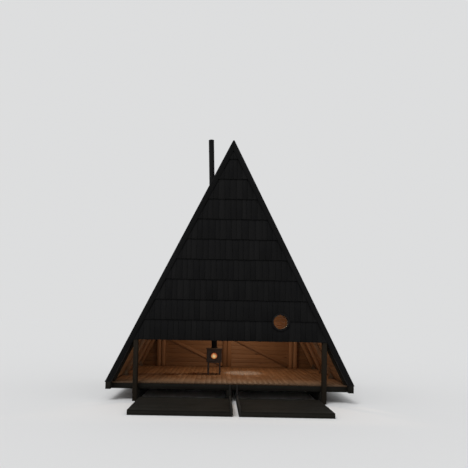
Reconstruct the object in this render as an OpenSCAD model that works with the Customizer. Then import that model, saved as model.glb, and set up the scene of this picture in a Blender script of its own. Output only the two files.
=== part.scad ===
// A-frame cabin on timber skids: two steep roof slopes that run down to the floor,
// a clad front gable that stops above an open band between two posts, and a closed
// back gable. The front looks along -Y, X runs to the right, Z is up from the ground.
// The origin is at the middle of the footprint, at ground level. Sizes are in mm.

/* [Roof form] */
// Width over the roof, at the level of the floor
house_w = 6400; // [6000:50:6800]
// Height above the floor of the line where the outsides of the slopes would meet
ridge_h = 6350; // [6000:50:6600]
// How far the ridge is cut off flat below that line
ridge_cut = 35; // [0:5:40]
// Length of the roof, from the front bargeboards to the back ones
house_len = 4400; // [4200:50:4800]

/* [Floor and ground] */
// Height of the floor above the ground
floor_h = 480; // [440:10:560]
// Depth of the floor joists
joist_h = 140; // [120:5:160]
// Width of one floor joist
joist_w = 60; // [45:5:80]
// Number of floor joists
joist_count = 8; // [6:1:10]
// Thickness of the floor boards
floor_t = 40; // [28:1:45]
// Thickness of the front and back rims
rim_t = 45; // [35:5:60]
// Width of one skid
skid_w = 150; // [120:10:200]

/* [Roof and frames] */
// Thickness of a roof slope under its courses, lining included
deck_t = 100; // [80:5:120]
// Depth of a rafter
rafter_h = 120; // [100:5:140]
// Depth of a rafter of the front frame, which the gable hides but for its feet
front_rafter_h = 65; // [50:5:90]
// Thickness of a rafter, along the length of the cabin
rafter_t = 60; // [45:5:80]
// Distance of the first and last frames from what they stand behind or before
frame_set = 15; // [10:5:60]
// Thickness of the ridge beam
ridge_beam_w = 80; // [60:5:100]
// Depth of the ridge beam
ridge_beam_h = 240; // [180:10:300]

/* [Cladding] */
// Height of one course of lapped cladding
course_h = 525; // [450:5:600]
// Thickness of a course at its lower edge, over the wall
course_t = 35; // [30:1:45]
// Step from one course to the next at the lap
lap_t = 20; // [12:1:24]
// Thickness of the bargeboards
barge_t = 28; // [22:1:35]
// Distance of the gables' cladding behind the face of the bargeboards
clad_set = 5; // [2:1:12]
// Height of one leg of the ridge cap
cap_h = 150; // [120:10:220]
// Thickness of the ridge cap
cap_t = 20; // [18:1:28]

/* [Front gable and posts] */
// Height of the open band under the front gable
band_h = 1100; // [1000:10:1200]
// Thickness of the front gable wall
gable_t = 120; // [100:5:140]
// Depth of the beam over the band
beam_h = 150; // [120:10:200]
// How far a post's outer side stands in from the lower end of the beam over it
post_in = 6; // [0:2:60]
// Width of a post
post_w = 112; // [100:4:148]
// Depth of a post, towards the room
post_d = 150; // [120:5:180]
// Distance of a post behind the face of the bargeboards
post_inset = 20; // [10:5:40]

/* [Porthole] */
// Distance of the porthole to the right of the middle
port_x = 1290; // [1000:10:1400]
// Height of the porthole's centre above the floor
port_h = 1610; // [1560:10:1800]
// Radius of the porthole's glass
port_r = 185; // [150:5:200]
// Thickness of the porthole's tube
port_wall = 18; // [12:1:24]
// Width of the porthole's flange, over its tube
port_flange = 26; // [20:1:40]

/* [Back wall] */
// Thickness of the back wall's boards
back_t = 45; // [35:5:60]
// Clear distance, at the floor, from an outer pair of studs to the lining beside it
stud_set = 648; // [600:4:760]
// Width of one stud
stud_w = 134; // [110:2:150]
// Gap between the two studs of a pair
stud_gap = 14; // [10:1:20]
// Depth of a stud, towards the room
stud_d = 100; // [80:5:120]
// Height of the rail between the studs
rail_z = 1065; // [1000:5:1150]
// Depth of the rail
rail_h = 95; // [80:5:120]
// Width of a brace
brace_w = 100; // [70:5:120]
// Thickness of a brace
brace_t = 45; // [35:5:60]

/* [Deck] */
// How far each side of the front deck stands in from the foot of the roof
terrace_set = 900; // [800:50:1000]
// Depth of the front deck, from the posts forward
terrace_len = 1750; // [1500:10:1900]
// Height of the front deck above the ground
terrace_h = 120; // [100:5:150]
// Thickness of the deck boards
plank_t = 28; // [22:1:35]
// Width of one deck bearer
bearer_w = 45; // [40:5:60]
// Number of bearers under each half of the deck
bearer_count = 4; // [3:1:6]
// Distance of the runners' middle line to the right of the cabin's middle
runner_x = 108; // [0:4:200]
// Distance between the middles of the two runners
runner_pitch = 185; // [160:5:240]
// Width of one runner
runner_w = 50; // [40:5:60]
// Height of a runner above the ground
runner_h = 185; // [170:5:220]

/* [Stove] */
// Distance of the stove's middle to the left of the cabin's middle
stove_x = 425; // [350:5:500]
// Distance from the front of the roof to the stove's middle
stove_y = 2200; // [2050:10:2400]
// Width of the stove's body
stove_w = 452; // [432:4:520]
// Depth of the stove's body
stove_d = 400; // [360:10:440]
// Height of the stove's body
stove_h = 390; // [360:10:440]
// Radius of the upright corners of the stove's body
stove_r = 24; // [12:2:36]
// Height of the stove's legs
leg_h = 360; // [300:10:400]
// Width of one leg
leg_w = 52; // [40:2:60]
// Distance of a leg's outer sides inside the body's sides
leg_set = 28; // [26:2:44]
// Thickness of the stove's top plate
top_t = 20; // [15:1:25]
// How far the top plate stands over the body
top_over = 18; // [12:2:24]
// Radius of the round window in the stove's door
window_r = 90; // [80:2:100]
// Width of the rim round the stove's window
window_rim = 28; // [20:2:34]
// Outer radius of the flue pipe
flue_r = 83; // [73:2:93]
// Thickness of the flue pipe
flue_wall = 4; // [3:0.5:6]
// Height of the flue's mouth above the ridge
flue_over = 750; // [500:10:900]
// Lean of the flue to the left, in degrees
flue_lean = 1.9; // [0:0.1:2.5]
// Thickness of the upstand at the lower and upper ends of the flue's oval hole
curb_wall = 24; // [16:2:40]

/* [Hidden] */
$fn = 64;

black_stain = [0.07, 0.07, 0.08];
pale_timber = [0.72, 0.55, 0.38];
grey_timber = [0.45, 0.42, 0.38];
grey_steel = [0.5, 0.51, 0.52];
dark_iron = [0.12, 0.12, 0.13];
warm_glass = [0.75, 0.6, 0.4];
fire_glass = [0.95, 0.55, 0.2];

// Clearance of a piece that is slipped over or into another
fit = 0.3;
// Small overshoot of a cutting shape
cut = 10;

// The slope of the roof
pitch = atan(ridge_h / (house_w / 2));
// Thickness of the whole slope, courses and deck
roof_t = course_t + deck_t;
// Places along the length, from the front of the roof backwards
total_len = house_len + terrace_len - post_inset;
front_y = terrace_len - post_inset - total_len / 2;
back_y = front_y + house_len;
post_y = front_y + post_inset;
room_y = post_y + post_d;
wall_clad_y = front_y + clad_set + course_t;
gable_in_y = wall_clad_y + gable_t;
back_clad_y = back_y - (wall_clad_y - front_y);
back_in_y = back_clad_y - back_t;
stud_y = back_in_y - stud_d;
// Heights above the ground
rim_z = floor_h - floor_t - joist_h;
band_z = floor_h + band_h;

// Height above the floor of the peak of the slope that lies d under the outer one
function peak(d) = ridge_h - d / cos(pitch);
// Half the width between those two slopes at height h above the floor
function half_w(d, h) = (peak(d) - h) / tan(pitch);
// Heights of the lower edges of the courses, from the lowest at base up to top
function butts(base, top) = concat(
    [base],
    [for (k = [-6 : 20])
        let (h = band_h + k * course_h)
        if (h > base + course_h / 3 && h < top) h]
);
// Outline of a lapped skin: [height, thickness] from its foot to its top
function lapped(heights, top) = concat(
    [[heights[0], 0]],
    [for (i = [0 : len(heights) - 1], upper = [false, true])
        let (
            low = heights[i],
            high = i < len(heights) - 1 ? heights[i + 1] : top,
            share = i == 0 ? 1 : (high - low) / course_h
        )
        upper ? [high, course_t - lap_t * min(share, 1)] : [low, course_t]],
    [[top, 0]]
);

half_in = half_w(roof_t, 0);
post_x = half_w(roof_t, band_h) - post_in - post_w / 2;
stud_x = half_in - stud_set - stud_w - stud_gap / 2;
terrace_w = house_w - 2 * terrace_set;
roof_heights = butts(0, ridge_h);
gable_heights = butts(band_h, ridge_h);
back_heights = butts(rim_z - floor_h, ridge_h);

// The triangle under the slope that lies d under the outer one, cut off at height h
module under_slope(d, h = 0) {
    polygon([[-half_w(d, h), h], [half_w(d, h), h], [0, peak(d)]]);
}

// What lies under the blunt ridge
module under_ridge() {
    translate([-house_w, -floor_h])
        square([2 * house_w, floor_h + ridge_h - ridge_cut]);
}

// A shape drawn as [x, height above the floor], set upright from y0 to y1
module upright(y0, y1) {
    translate([0, y1, floor_h])
        rotate([90, 0, 0])
            linear_extrude(y1 - y0)
                children();
}

// A block from one corner to the other
module block(low, high) {
    translate(low)
        cube(high - low);
}

// Half the width that the two runners take, between the halves of the deck
runner_bay = (runner_pitch + runner_w) / 2;

// Timber under the floor

module skid(x) {
    color(grey_timber)
        block([x - skid_w / 2, room_y, 0], [x + skid_w / 2, back_in_y, rim_z]);
}

module rim(y) {
    color(grey_timber)
        block([-half_in, y, rim_z], [half_in, y + rim_t, rim_z + joist_h]);
}

// The sill under the foot of a slope: its ends show beside the bargeboards
module sill() {
    color(grey_timber)
        block([half_in, front_y, rim_z], [half_w(course_t / 2, 0), back_y, floor_h]);
}

module floor_joists() {
    first = room_y + rim_t;
    last = back_in_y - rim_t;
    step = (last - first - joist_w) / (joist_count + 1);
    color(grey_timber)
        for (i = [1 : joist_count])
            translate([0, first + i * step, 0])
                block([-half_in, 0, rim_z], [half_in, joist_w, rim_z + joist_h]);
}

module floor_boards() {
    color(pale_timber)
        block([-half_in, room_y, floor_h - floor_t], [half_in, back_in_y, floor_h]);
}

// The front deck

// One half of the deck: boards on bearers, with a board along its front edge
module deck_half(x0, x1) {
    step = (x1 - x0 - bearer_w) / (bearer_count - 1);
    color(grey_timber)
        translate([0, post_y - terrace_len, 0]) {
            block([x0, 0, terrace_h - plank_t], [x1, terrace_len, terrace_h]);
            block([x0, 0, 0], [x1, plank_t, terrace_h]);
            for (i = [0 : bearer_count - 1])
                translate([x0 + i * step, 0, 0])
                    block([0, 0, 0], [bearer_w, terrace_len, terrace_h]);
        }
}

// Two runners on the ground between the halves of the deck, each with an upright
// that stands against the front rim
module deck_runners() {
    color(pale_timber)
        for (side = [-1, 1])
            translate([runner_x + side * runner_pitch / 2 - runner_w / 2, 0, 0]) {
                block([0, post_y - terrace_len, 0], [runner_w, room_y, runner_h]);
                block([0, room_y - runner_w, 0], [runner_w, room_y, floor_h - floor_t]);
            }
}

// The front posts and beam

module front_post(side) {
    color(pale_timber)
        intersection() {
            translate([side * post_x, 0, 0])
                block([-post_w / 2, post_y, 0], [post_w / 2, room_y, band_z]);
            upright(post_y, room_y)
                under_slope(roof_t, -floor_h);
        }
}

module front_beam() {
    color(pale_timber)
        upright(wall_clad_y, gable_in_y)
            intersection() {
                under_slope(roof_t, band_h);
                translate([-house_w / 2, band_h])
                    square([house_w, beam_h]);
            }
}

// The frames

frame_y0 = room_y + frame_set;
frame_pitch = (stud_y - frame_set - rafter_t - frame_y0) / 3;
function frame_y(i) = frame_y0 + i * frame_pitch;
shoe_t = 6;
shoe_over = 45;
shoe_h = 150;

// One rafter of the right slope, from the height of its foot to the side of the ridge beam
module rafter_section(depth, foot) {
    intersection() {
        difference() {
            under_slope(roof_t);
            under_slope(roof_t + depth, -cut);
        }
        translate([ridge_beam_w / 2, foot])
            square([house_w, ridge_h]);
    }
}

module a_frame(i, depth = rafter_h, foot = shoe_t) {
    color(pale_timber)
        upright(frame_y(i), frame_y(i) + rafter_t)
            for (side = [0, 1])
                mirror([side, 0])
                    rafter_section(depth, foot);
}

ridge_beam_low = peak(roof_t) - ridge_beam_w / 2 * tan(pitch) - ridge_beam_h;
module ridge_beam() {
    color(pale_timber)
        upright(gable_in_y, back_in_y)
            translate([-ridge_beam_w / 2, ridge_beam_low])
                square([ridge_beam_w, ridge_beam_h]);
}

// A bent steel shoe: a plate on the floor with a cheek on each side of the rafter
module shoe() {
    outer = half_w(roof_t, 0);
    inner = half_w(roof_t + rafter_h, 0);
    upright(-shoe_t - fit, rafter_t + shoe_t + fit)
        intersection() {
            under_slope(roof_t);
            translate([inner - shoe_over, 0])
                square([outer, shoe_t]);
        }
    for (y = [-shoe_t - fit, rafter_t + fit])
        upright(y, y + shoe_t)
            intersection() {
                under_slope(roof_t);
                polygon([
                    [inner - shoe_over, 0],
                    [outer, 0],
                    [half_w(roof_t, shoe_h), shoe_h],
                    [half_w(roof_t + rafter_h / 2, shoe_h), shoe_h]
                ]);
            }
}

module rafter_shoes() {
    color(grey_steel)
        for (i = [1 : 3], side = [0, 1])
            translate([0, frame_y(i), 0])
                mirror([side, 0, 0])
                    shoe();
}

// The roof slopes

module right_half() {
    translate([0, -cut])
        square([house_w, ridge_h + 2 * cut]);
}

module slope_section() {
    intersection() {
        difference() {
            under_slope(course_t);
            under_slope(roof_t, -cut);
        }
        right_half();
    }
}

// Turns a lapped outline into a section of the right slope
function on_slope(p) = [
    half_w(course_t, p[0]) + p[1] * sin(pitch),
    p[0] + p[1] * cos(pitch)
];

module course_section() {
    outline = lapped(roof_heights, ridge_h);
    intersection() {
        difference() {
            polygon(concat(
                [[half_w(course_t, -course_t), -course_t]],
                [[half_w(0, -course_t), -course_t]],
                [for (i = [1 : len(outline) - 1]) on_slope(outline[i])]
            ));
            cap_section();
        }
        under_slope(0);
        under_ridge();
        right_half();
    }
}

module cap_section() {
    difference() {
        under_slope(0, ridge_h - cap_h);
        under_slope(cap_t, ridge_h - cap_h - cut);
    }
}

// The line of the flue: a frame whose Z axis runs up the leaning pipe from the stove
stove_top = leg_h + stove_h + top_t;
flue_low = floor_h + stove_top;
flue_len = (floor_h + ridge_h + flue_over - flue_low) / cos(flue_lean);
module on_flue() {
    translate([-stove_x, front_y + stove_y, flue_low])
        rotate([0, -flue_lean, 0])
            children();
}

// Height above the floor where the flue meets the outside of the left deck
flue_cross_h = (half_w(course_t, 0) - stove_x + tan(flue_lean) * stove_top)
    / (1 / tan(pitch) + tan(flue_lean));

// Half the side of the upstand: half the length of the flue's oval hole, and the wall
curb_r = (flue_r + fit) / cos(pitch - flue_lean) + curb_wall;

module flue_bore() {
    on_flue()
        cylinder(r = flue_r + fit, h = flue_len + flue_r);
}

// The square upstand round the flue, square to the slope: it starts under the outside of
// the left deck and rises over it
module curb(height, under = 0) {
    translate([-half_w(course_t, flue_cross_h), front_y + stove_y, floor_h + flue_cross_h])
        rotate([0, -pitch, 0])
            translate([-curb_r, -curb_r, -under])
                cube([2 * curb_r, 2 * curb_r, under + height]);
}

module roof_deck_left() {
    color(black_stain)
        difference() {
            upright(front_y + barge_t, back_y - barge_t)
                mirror([1, 0])
                    slope_section();
            flue_bore();
        }
}

module roof_deck_right() {
    color(black_stain)
        upright(front_y + barge_t, back_y - barge_t)
            slope_section();
}

module roof_courses_left() {
    color(black_stain)
        difference() {
            upright(front_y + barge_t, back_y - barge_t)
                mirror([1, 0])
                    course_section();
            curb(course_t + cut, cut);
        }
}

module roof_courses_right() {
    color(black_stain)
        upright(front_y + barge_t, back_y - barge_t)
            course_section();
}

module ridge_cap() {
    color(black_stain)
        upright(front_y + barge_t, back_y - barge_t)
            intersection() {
                cap_section();
                under_ridge();
            }
}

module bargeboards(y) {
    color(black_stain)
        upright(y, y + barge_t)
            difference() {
                intersection() {
                    under_slope(0);
                    under_ridge();
                }
                under_slope(roof_t, -cut);
            }
}

// The gables

// The outside of a gable: lapped courses whose backs stand at y = 0 and that face -Y
module gable_courses(heights) {
    outline = lapped(heights, ridge_h);
    translate([-house_w / 2, 0, floor_h])
        rotate([90, 0, 90])
            linear_extrude(house_w)
                polygon([for (p = outline) [-p[1], p[0]]]);
}

module port_hole(r) {
    translate([port_x, gable_in_y + cut, floor_h + port_h])
        rotate([90, 0, 0])
            cylinder(r = r, h = gable_t + 2 * course_t + 2 * cut);
}

module front_gable_wall() {
    color(pale_timber)
        difference() {
            upright(wall_clad_y, gable_in_y)
                under_slope(roof_t, band_h + beam_h);
            port_hole(port_r + port_wall + fit);
        }
}

module front_gable_courses() {
    color(black_stain)
        difference() {
            intersection() {
                translate([0, wall_clad_y, 0])
                    gable_courses(gable_heights);
                upright(wall_clad_y - course_t, wall_clad_y)
                    under_slope(roof_t, band_h);
            }
            port_hole(port_r + port_wall + fit);
        }
}

// Outline of the back gable: under the slopes above the floor, between the sills below it
module back_outline() {
    under_slope(roof_t);
    translate([-half_in, rim_z - floor_h])
        square([2 * half_in, floor_h - rim_z]);
}

module back_gable_wall() {
    color(pale_timber)
        upright(back_in_y, back_clad_y)
            back_outline();
}

module back_gable_courses() {
    color(black_stain)
        intersection() {
            translate([0, back_clad_y, 0])
                mirror([0, 1, 0])
                    gable_courses(back_heights);
            upright(back_clad_y, back_clad_y + course_t)
                back_outline();
        }
}

// The porthole: a tube through the wall with a flange on the courses
port_front = wall_clad_y - course_t;
port_glass_t = 8;
port_flange_t = 12;
port_bevel = 4;

module porthole_frame() {
    tube = port_r + port_wall;
    rim = tube + port_flange;
    depth = gable_in_y - port_front;
    color(dark_iron)
        translate([port_x, gable_in_y, floor_h + port_h])
            rotate([90, 0, 0])
                rotate_extrude()
                    polygon([
                        [port_r, 0],
                        [tube, 0],
                        [tube, depth],
                        [rim, depth],
                        [rim, depth + port_flange_t - port_bevel],
                        [rim - port_bevel, depth + port_flange_t],
                        [port_r + port_bevel, depth + port_flange_t],
                        [port_r, depth + port_flange_t - port_bevel]
                    ]);
}

module porthole_glass() {
    color(warm_glass)
        translate([port_x, wall_clad_y, floor_h + port_h])
            rotate([90, 0, 0])
                cylinder(r = port_r - fit, h = port_glass_t);
}

// The frame inside the back wall

// A pair of studs in front of the back wall's boards, cut off under the slopes
module stud_pair(x, top) {
    color(pale_timber)
        upright(stud_y, back_in_y)
            intersection() {
                for (side = [-1, 1])
                    translate([x + side * (stud_w + stud_gap) / 2 - stud_w / 2, 0])
                        square([stud_w, top]);
                under_slope(roof_t);
            }
}

bay_x0 = stud_w + stud_gap / 2;
bay_x1 = stud_x - bay_x0;

module back_rail() {
    color(pale_timber)
        for (side = [0, 1])
            mirror([side, 0, 0])
                upright(stud_y, back_in_y)
                    translate([bay_x0, rail_z])
                        square([bay_x1 - bay_x0, rail_h]);
}

// A brace from the upper left corner of a bay to its lower right corner, with upright
// ends against the studs: its upper side meets the rail, its lower side the floor
module back_brace(x0) {
    run = bay_x1 - bay_x0;
    tilt = acos(brace_w / norm([run, rail_z])) - atan(run / rail_z);
    end_h = brace_w / cos(tilt);
    color(pale_timber)
        upright(back_in_y - brace_t, back_in_y)
            polygon([
                [x0, rail_z],
                [x0, rail_z - end_h],
                [x0 + run, 0],
                [x0 + run, end_h]
            ]);
}

// The stove

module at_stove() {
    translate([-stove_x, front_y + stove_y, floor_h])
        children();
}

// A plate from z0 to z1 with round corners, over the half sizes x and y
module round_plate(x, y, r, z0, z1) {
    translate([0, 0, z0])
        linear_extrude(z1 - z0) {
            square([2 * (x - r), 2 * y], center = true);
            square([2 * x, 2 * (y - r)], center = true);
            for (side = [-1, 1], end = [-1, 1])
                translate([side * (x - r), end * (y - r)])
                    circle(r);
        }
}

ash_over = 42;
ash_h = 30;
plinth_h = 26;
leg_r = 11;
foot_over = 6;
foot_h = 12;

// The fire box on four legs, with a moulded plinth, an ash lip and a top plate
module stove_body() {
    half_x = stove_w / 2;
    half_y = stove_d / 2;
    leg_x = half_x - leg_set - leg_w / 2;
    leg_y = half_y - leg_set - leg_w / 2;
    color(dark_iron)
        at_stove() {
            round_plate(half_x, half_y, stove_r, leg_h, leg_h + stove_h);
            round_plate(half_x + top_over / 2, half_y + top_over / 2, stove_r, leg_h, leg_h + plinth_h);
            round_plate(half_x + top_over, half_y + top_over, stove_r, leg_h + stove_h, stove_top);
            translate([0, -(half_y + ash_over) / 2, leg_h])
                round_plate(half_x - leg_set, (half_y + ash_over) / 2, stove_r, -ash_h / 2, ash_h / 2);
            for (x = [-leg_x, leg_x], y = [-leg_y, leg_y])
                translate([x, y, 0]) {
                    round_plate(leg_w / 2, leg_w / 2, leg_r, 0, leg_h + plinth_h / 2);
                    round_plate(leg_w / 2 + foot_over, leg_w / 2 + foot_over, leg_r, 0, foot_h);
                }
        }
}

door_t = 24;
rim_edge_t = 14;
rim_slope = 9;
rim_lip_t = 17;
rim_lip = 4;
glass_pane_t = 12;
window_h = leg_h + stove_h / 2;
latch_edge = 46;
latch_r = 14;
latch_len = 48;
latch_ease = 3;
stem_foot_r = 10;
stem_foot_h = 10;
stem_r = 6;
stem_len = 27;
hinge_r = 9;
hinge_len = 48;
hinge_z = 62;
strap_t = 6;

// The cast rim of the door, sloped off round its outside and towards the glass
module door_rim() {
    outside = window_r + window_rim;
    rotate_extrude()
        polygon([
            [window_r, 0],
            [outside, 0],
            [outside, rim_edge_t],
            [outside - rim_slope, door_t],
            [window_r + rim_lip, door_t],
            [window_r, rim_lip_t]
        ]);
}

// A knob on a waisted stem
module latch_knob() {
    rotate_extrude()
        polygon([
            [0, 0],
            [stem_foot_r, 0],
            [stem_r, stem_foot_h],
            [stem_r, stem_len],
            [latch_r, stem_len + latch_ease],
            [latch_r, latch_len - latch_ease],
            [latch_r - latch_ease, latch_len],
            [0, latch_len]
        ]);
}

// A hinge barrel beside the rim, and the strap that carries the rim on it
module door_hinge() {
    hinge_x = window_r + window_rim + hinge_r;
    translate([-hinge_x, 0, hinge_r + fit])
        rotate([90, 0, 0])
            cylinder(r = hinge_r, h = hinge_len, center = true);
    translate([-hinge_x, -hinge_r, hinge_r - strap_t / 2])
        cube([hinge_x - window_r, 2 * hinge_r, strap_t]);
}

// The round door: its rim on two hinges, with the knob of the latch at its lower right
module stove_door() {
    color(dark_iron)
        at_stove()
            translate([0, -stove_d / 2, window_h])
                rotate([90, 0, 0]) {
                    door_rim();
                    for (z = [-hinge_z, hinge_z])
                        translate([0, z, 0])
                            door_hinge();
                    translate([stove_w / 2 - latch_edge, latch_edge - stove_h / 2, 0])
                        latch_knob();
                }
}

module stove_glass() {
    color(fire_glass)
        at_stove()
            translate([0, -stove_d / 2, window_h])
                rotate([90, 0, 0])
                    cylinder(r = window_r - fit, h = glass_pane_t);
}

collar_over = 22;
collar_foot_h = 10;
collar_slope_h = 20;
collar_h = 40;

// The pipe, with a spreading collar at its foot that stands on the stove's top plate
module flue_pipe() {
    color(dark_iron)
        difference() {
            on_flue()
                rotate_extrude()
                    polygon([
                        [flue_r - flue_wall, -cut],
                        [flue_r + collar_over, -cut],
                        [flue_r + collar_over, collar_foot_h],
                        [flue_r + flue_wall, collar_slope_h],
                        [flue_r + flue_wall, collar_h],
                        [flue_r, collar_h],
                        [flue_r, flue_len],
                        [flue_r - flue_wall, flue_len]
                    ]);
            translate([-stove_x - stove_w / 2, front_y + stove_y - stove_d / 2, floor_h])
                cube([stove_w, stove_d, stove_top]);
        }
}

// The upstand, sleeve and storm collar that close the hole round the flue
module flue_flashing() {
    curb_over = 25;
    sleeve_t = 14;
    collar_w = 50;
    collar_len = 70;
    collar_lip = 4;
    cross_z = (flue_cross_h - stove_top) / cos(flue_lean);
    rise = (flue_r + collar_w) * tan(pitch) + course_t / cos(pitch) + sleeve_t;
    color(dark_iron)
        difference() {
            union() {
                curb(course_t + curb_over);
                difference() {
                    on_flue()
                        translate([0, 0, cross_z - rise])
                            cylinder(r = flue_r + sleeve_t, h = 2 * rise);
                    upright(front_y, back_y)
                        under_slope(0);
                }
                on_flue()
                    translate([0, 0, cross_z + rise - cut])
                        cylinder(r1 = flue_r + collar_w, r2 = flue_r + collar_lip, h = collar_len);
            }
            flue_bore();
        }
}

skid(-post_x);  // skid_left
skid(0);  // skid_middle
skid(post_x);  // skid_right
rim(room_y);  // front_rim
rim(back_in_y - rim_t);  // back_rim
mirror([1, 0, 0]) sill();  // left_sill
sill();  // right_sill
floor_joists();
floor_boards();
deck_half(-terrace_w / 2, runner_x - runner_bay);  // deck_left
deck_half(runner_x + runner_bay, terrace_w / 2);  // deck_right
deck_runners();
front_post(-1);  // front_post_left
front_post(1);  // front_post_right
front_beam();
a_frame(0, front_rafter_h, 0);  // frame_front
a_frame(1);  // frame_second
a_frame(2);  // frame_third
a_frame(3);  // frame_back
ridge_beam();
rafter_shoes();
roof_deck_left();  // left_roof_deck
roof_deck_right();  // right_roof_deck
roof_courses_left();  // left_roof_courses
roof_courses_right();  // right_roof_courses
bargeboards(front_y);  // front_bargeboards
bargeboards(back_y - barge_t);  // back_bargeboards
ridge_cap();
front_gable_wall();
front_gable_courses();
porthole_frame();
porthole_glass();
back_gable_wall();
back_gable_courses();
stud_pair(-stud_x, ridge_h);  // back_stud_left
stud_pair(0, ridge_beam_low);  // back_stud_middle
stud_pair(stud_x, ridge_h);  // back_stud_right
back_rail();
back_brace(-bay_x1);  // back_brace_left
back_brace(bay_x0);  // back_brace_right
stove_body();
stove_door();
stove_glass();
flue_pipe();
flue_flashing();
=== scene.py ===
"""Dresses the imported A-frame cabin: boards, timbers, stove, flue, finishes, light and camera."""
import math

import bpy
import numpy as np
from mathutils import Matrix, Vector
from bpy.props import FloatProperty, FloatVectorProperty, IntProperty, PointerProperty


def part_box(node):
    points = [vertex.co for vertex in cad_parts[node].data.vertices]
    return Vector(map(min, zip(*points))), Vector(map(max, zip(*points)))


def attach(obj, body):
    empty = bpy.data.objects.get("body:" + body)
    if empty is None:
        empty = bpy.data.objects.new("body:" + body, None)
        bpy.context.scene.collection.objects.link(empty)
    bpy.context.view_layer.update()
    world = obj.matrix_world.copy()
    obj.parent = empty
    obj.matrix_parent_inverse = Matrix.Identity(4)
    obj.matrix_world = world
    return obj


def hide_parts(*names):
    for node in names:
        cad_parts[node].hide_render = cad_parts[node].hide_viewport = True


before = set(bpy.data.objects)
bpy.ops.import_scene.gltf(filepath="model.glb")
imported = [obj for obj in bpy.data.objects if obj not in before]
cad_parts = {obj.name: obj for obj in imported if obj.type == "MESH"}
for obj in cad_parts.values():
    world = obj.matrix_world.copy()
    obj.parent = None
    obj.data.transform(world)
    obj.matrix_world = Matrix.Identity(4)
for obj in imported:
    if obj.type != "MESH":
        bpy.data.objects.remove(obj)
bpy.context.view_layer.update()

bl_info = {
    "name": "A-frame cabin",
    "version": (1, 0, 0),
    "blender": (4, 5, 0),
    "location": "3D View > Sidebar > Cabin",
    "description": "Boards, timbers, stove and flue of an A-frame cabin",
    "category": "Add Mesh",
}


# Levels and planes of the cabin, read from its solids, in metres

def low(node, axis):
    """Lowest coordinate of a solid along one axis."""
    return float(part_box(node)[0][axis])


def high(node, axis):
    """Highest coordinate of a solid along one axis."""
    return float(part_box(node)[1][axis])


def mid(node, axis):
    """Middle coordinate of a solid along one axis."""
    return (low(node, axis) + high(node, axis)) / 2


def half_size(node, axis):
    """Half the size of a solid along one axis."""
    return (high(node, axis) - low(node, axis)) / 2


def corners_of(node):
    """The corners of a solid, one row each."""
    return np.array([v.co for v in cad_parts[node].data.vertices])


X, Y, Z = 0, 1, 2
UP, TO_FRONT = (0, 0, 1), (0, -1, 0)
FLOOR_Z = high("floor_boards", Z)
TOP_Z = high("front_bargeboards", Z)
HALF_W = high("front_bargeboards", X)
BAND_Z = low("front_gable_courses", Z)
RIM_Z = low("front_rim", Z)
ROOM_Y = low("floor_boards", Y)
CLAD_Y = low("front_gable_wall", Y)
BACK_CLAD_Y = high("back_gable_wall", Y)
BACK_IN_Y = low("back_gable_wall", Y)
TAN = (high("right_roof_deck", Z) - FLOOR_Z) / high("right_roof_deck", X)
PITCH = math.atan(TAN)
SIN, COS = math.sin(PITCH), math.cos(PITCH)
PEAK_Z = FLOOR_Z + HALF_W * TAN
ROOF_T = (HALF_W - low("right_sill", X)) * SIN
COURSE_T = (HALF_W - high("right_roof_deck", X)) * SIN
ROOF_Y0, ROOF_Y1 = low("right_roof_deck", Y), high("right_roof_deck", Y)
PORT = (mid("porthole_glass", X), mid("porthole_glass", Z))
STOVE_X = mid("stove_glass", X)
STOVE_Y = mid("flue_flashing", Y)
WINDOW = (STOVE_X, high("stove_glass", Y), mid("stove_glass", Z))
WINDOW_R = half_size("stove_glass", X) - 0.0005

# The smallest board that is put up, and how far a course reaches up behind the next one
LEAST = 0.012
TUCKED = 0.004


def half_width(depth, z):
    """Half the width, at height z, between the planes that lie depth under the roof's outside."""
    return (PEAK_Z - depth / COS - z) / TAN


def slope_height(depth, x):
    """Height, at x, of the plane that lies depth under the roof's outside."""
    return PEAK_Z - depth / COS - np.abs(x) * TAN


# Settings

def length(name, text, default):
    """A length in metres that a user may change."""
    return FloatProperty(
        name=name, description=text, default=default, min=0.0005, max=2.0,
        precision=4, subtype="DISTANCE", unit="LENGTH",
    )


def coordinate(name, text, default):
    """A coordinate in metres that a user may change."""
    return FloatProperty(
        name=name, description=text, default=default, subtype="DISTANCE", unit="LENGTH")


def degrees(name, text, default):
    """An angle, given here in degrees, that a user may change."""
    return FloatProperty(
        name=name, description=text, default=math.radians(default), subtype="ANGLE",
        unit="ROTATION")


def number(name, text, default, **limits):
    """A plain number that a user may change."""
    return FloatProperty(name=name, description=text, default=default, **limits)


def colour(name, text, default):
    """A colour that a user may change."""
    return FloatVectorProperty(
        name=name, description=text, default=default, size=3, min=0.0, max=1.0, subtype="COLOR",
    )


class CladdingSettings(bpy.types.PropertyGroup):
    """Sizes of the lapped courses outside."""

    course_h: length("Course", "Height of one course, as on the gables", 0.525)
    lap: length("Lap", "Step from one course to the next", 0.020)
    board_w: length("Board", "Usual width of one board in a course", 0.150)
    board_vary: length("Variation", "How far a board's width strays from the usual one", 0.030)
    gap: length("Gap", "Gap between two boards of a course", 0.004)
    edge: length("Edge", "Worn edge of a board", 0.003)
    ragged: length("Ragged", "How far the lower ends of the boards stray upwards", 0.007)
    cap_t: length("Cap", "Thickness of the ridge cap", 0.020)
    thin: length("Thin", "How much thinner than the usual one a board may be", 0.003)


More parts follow.
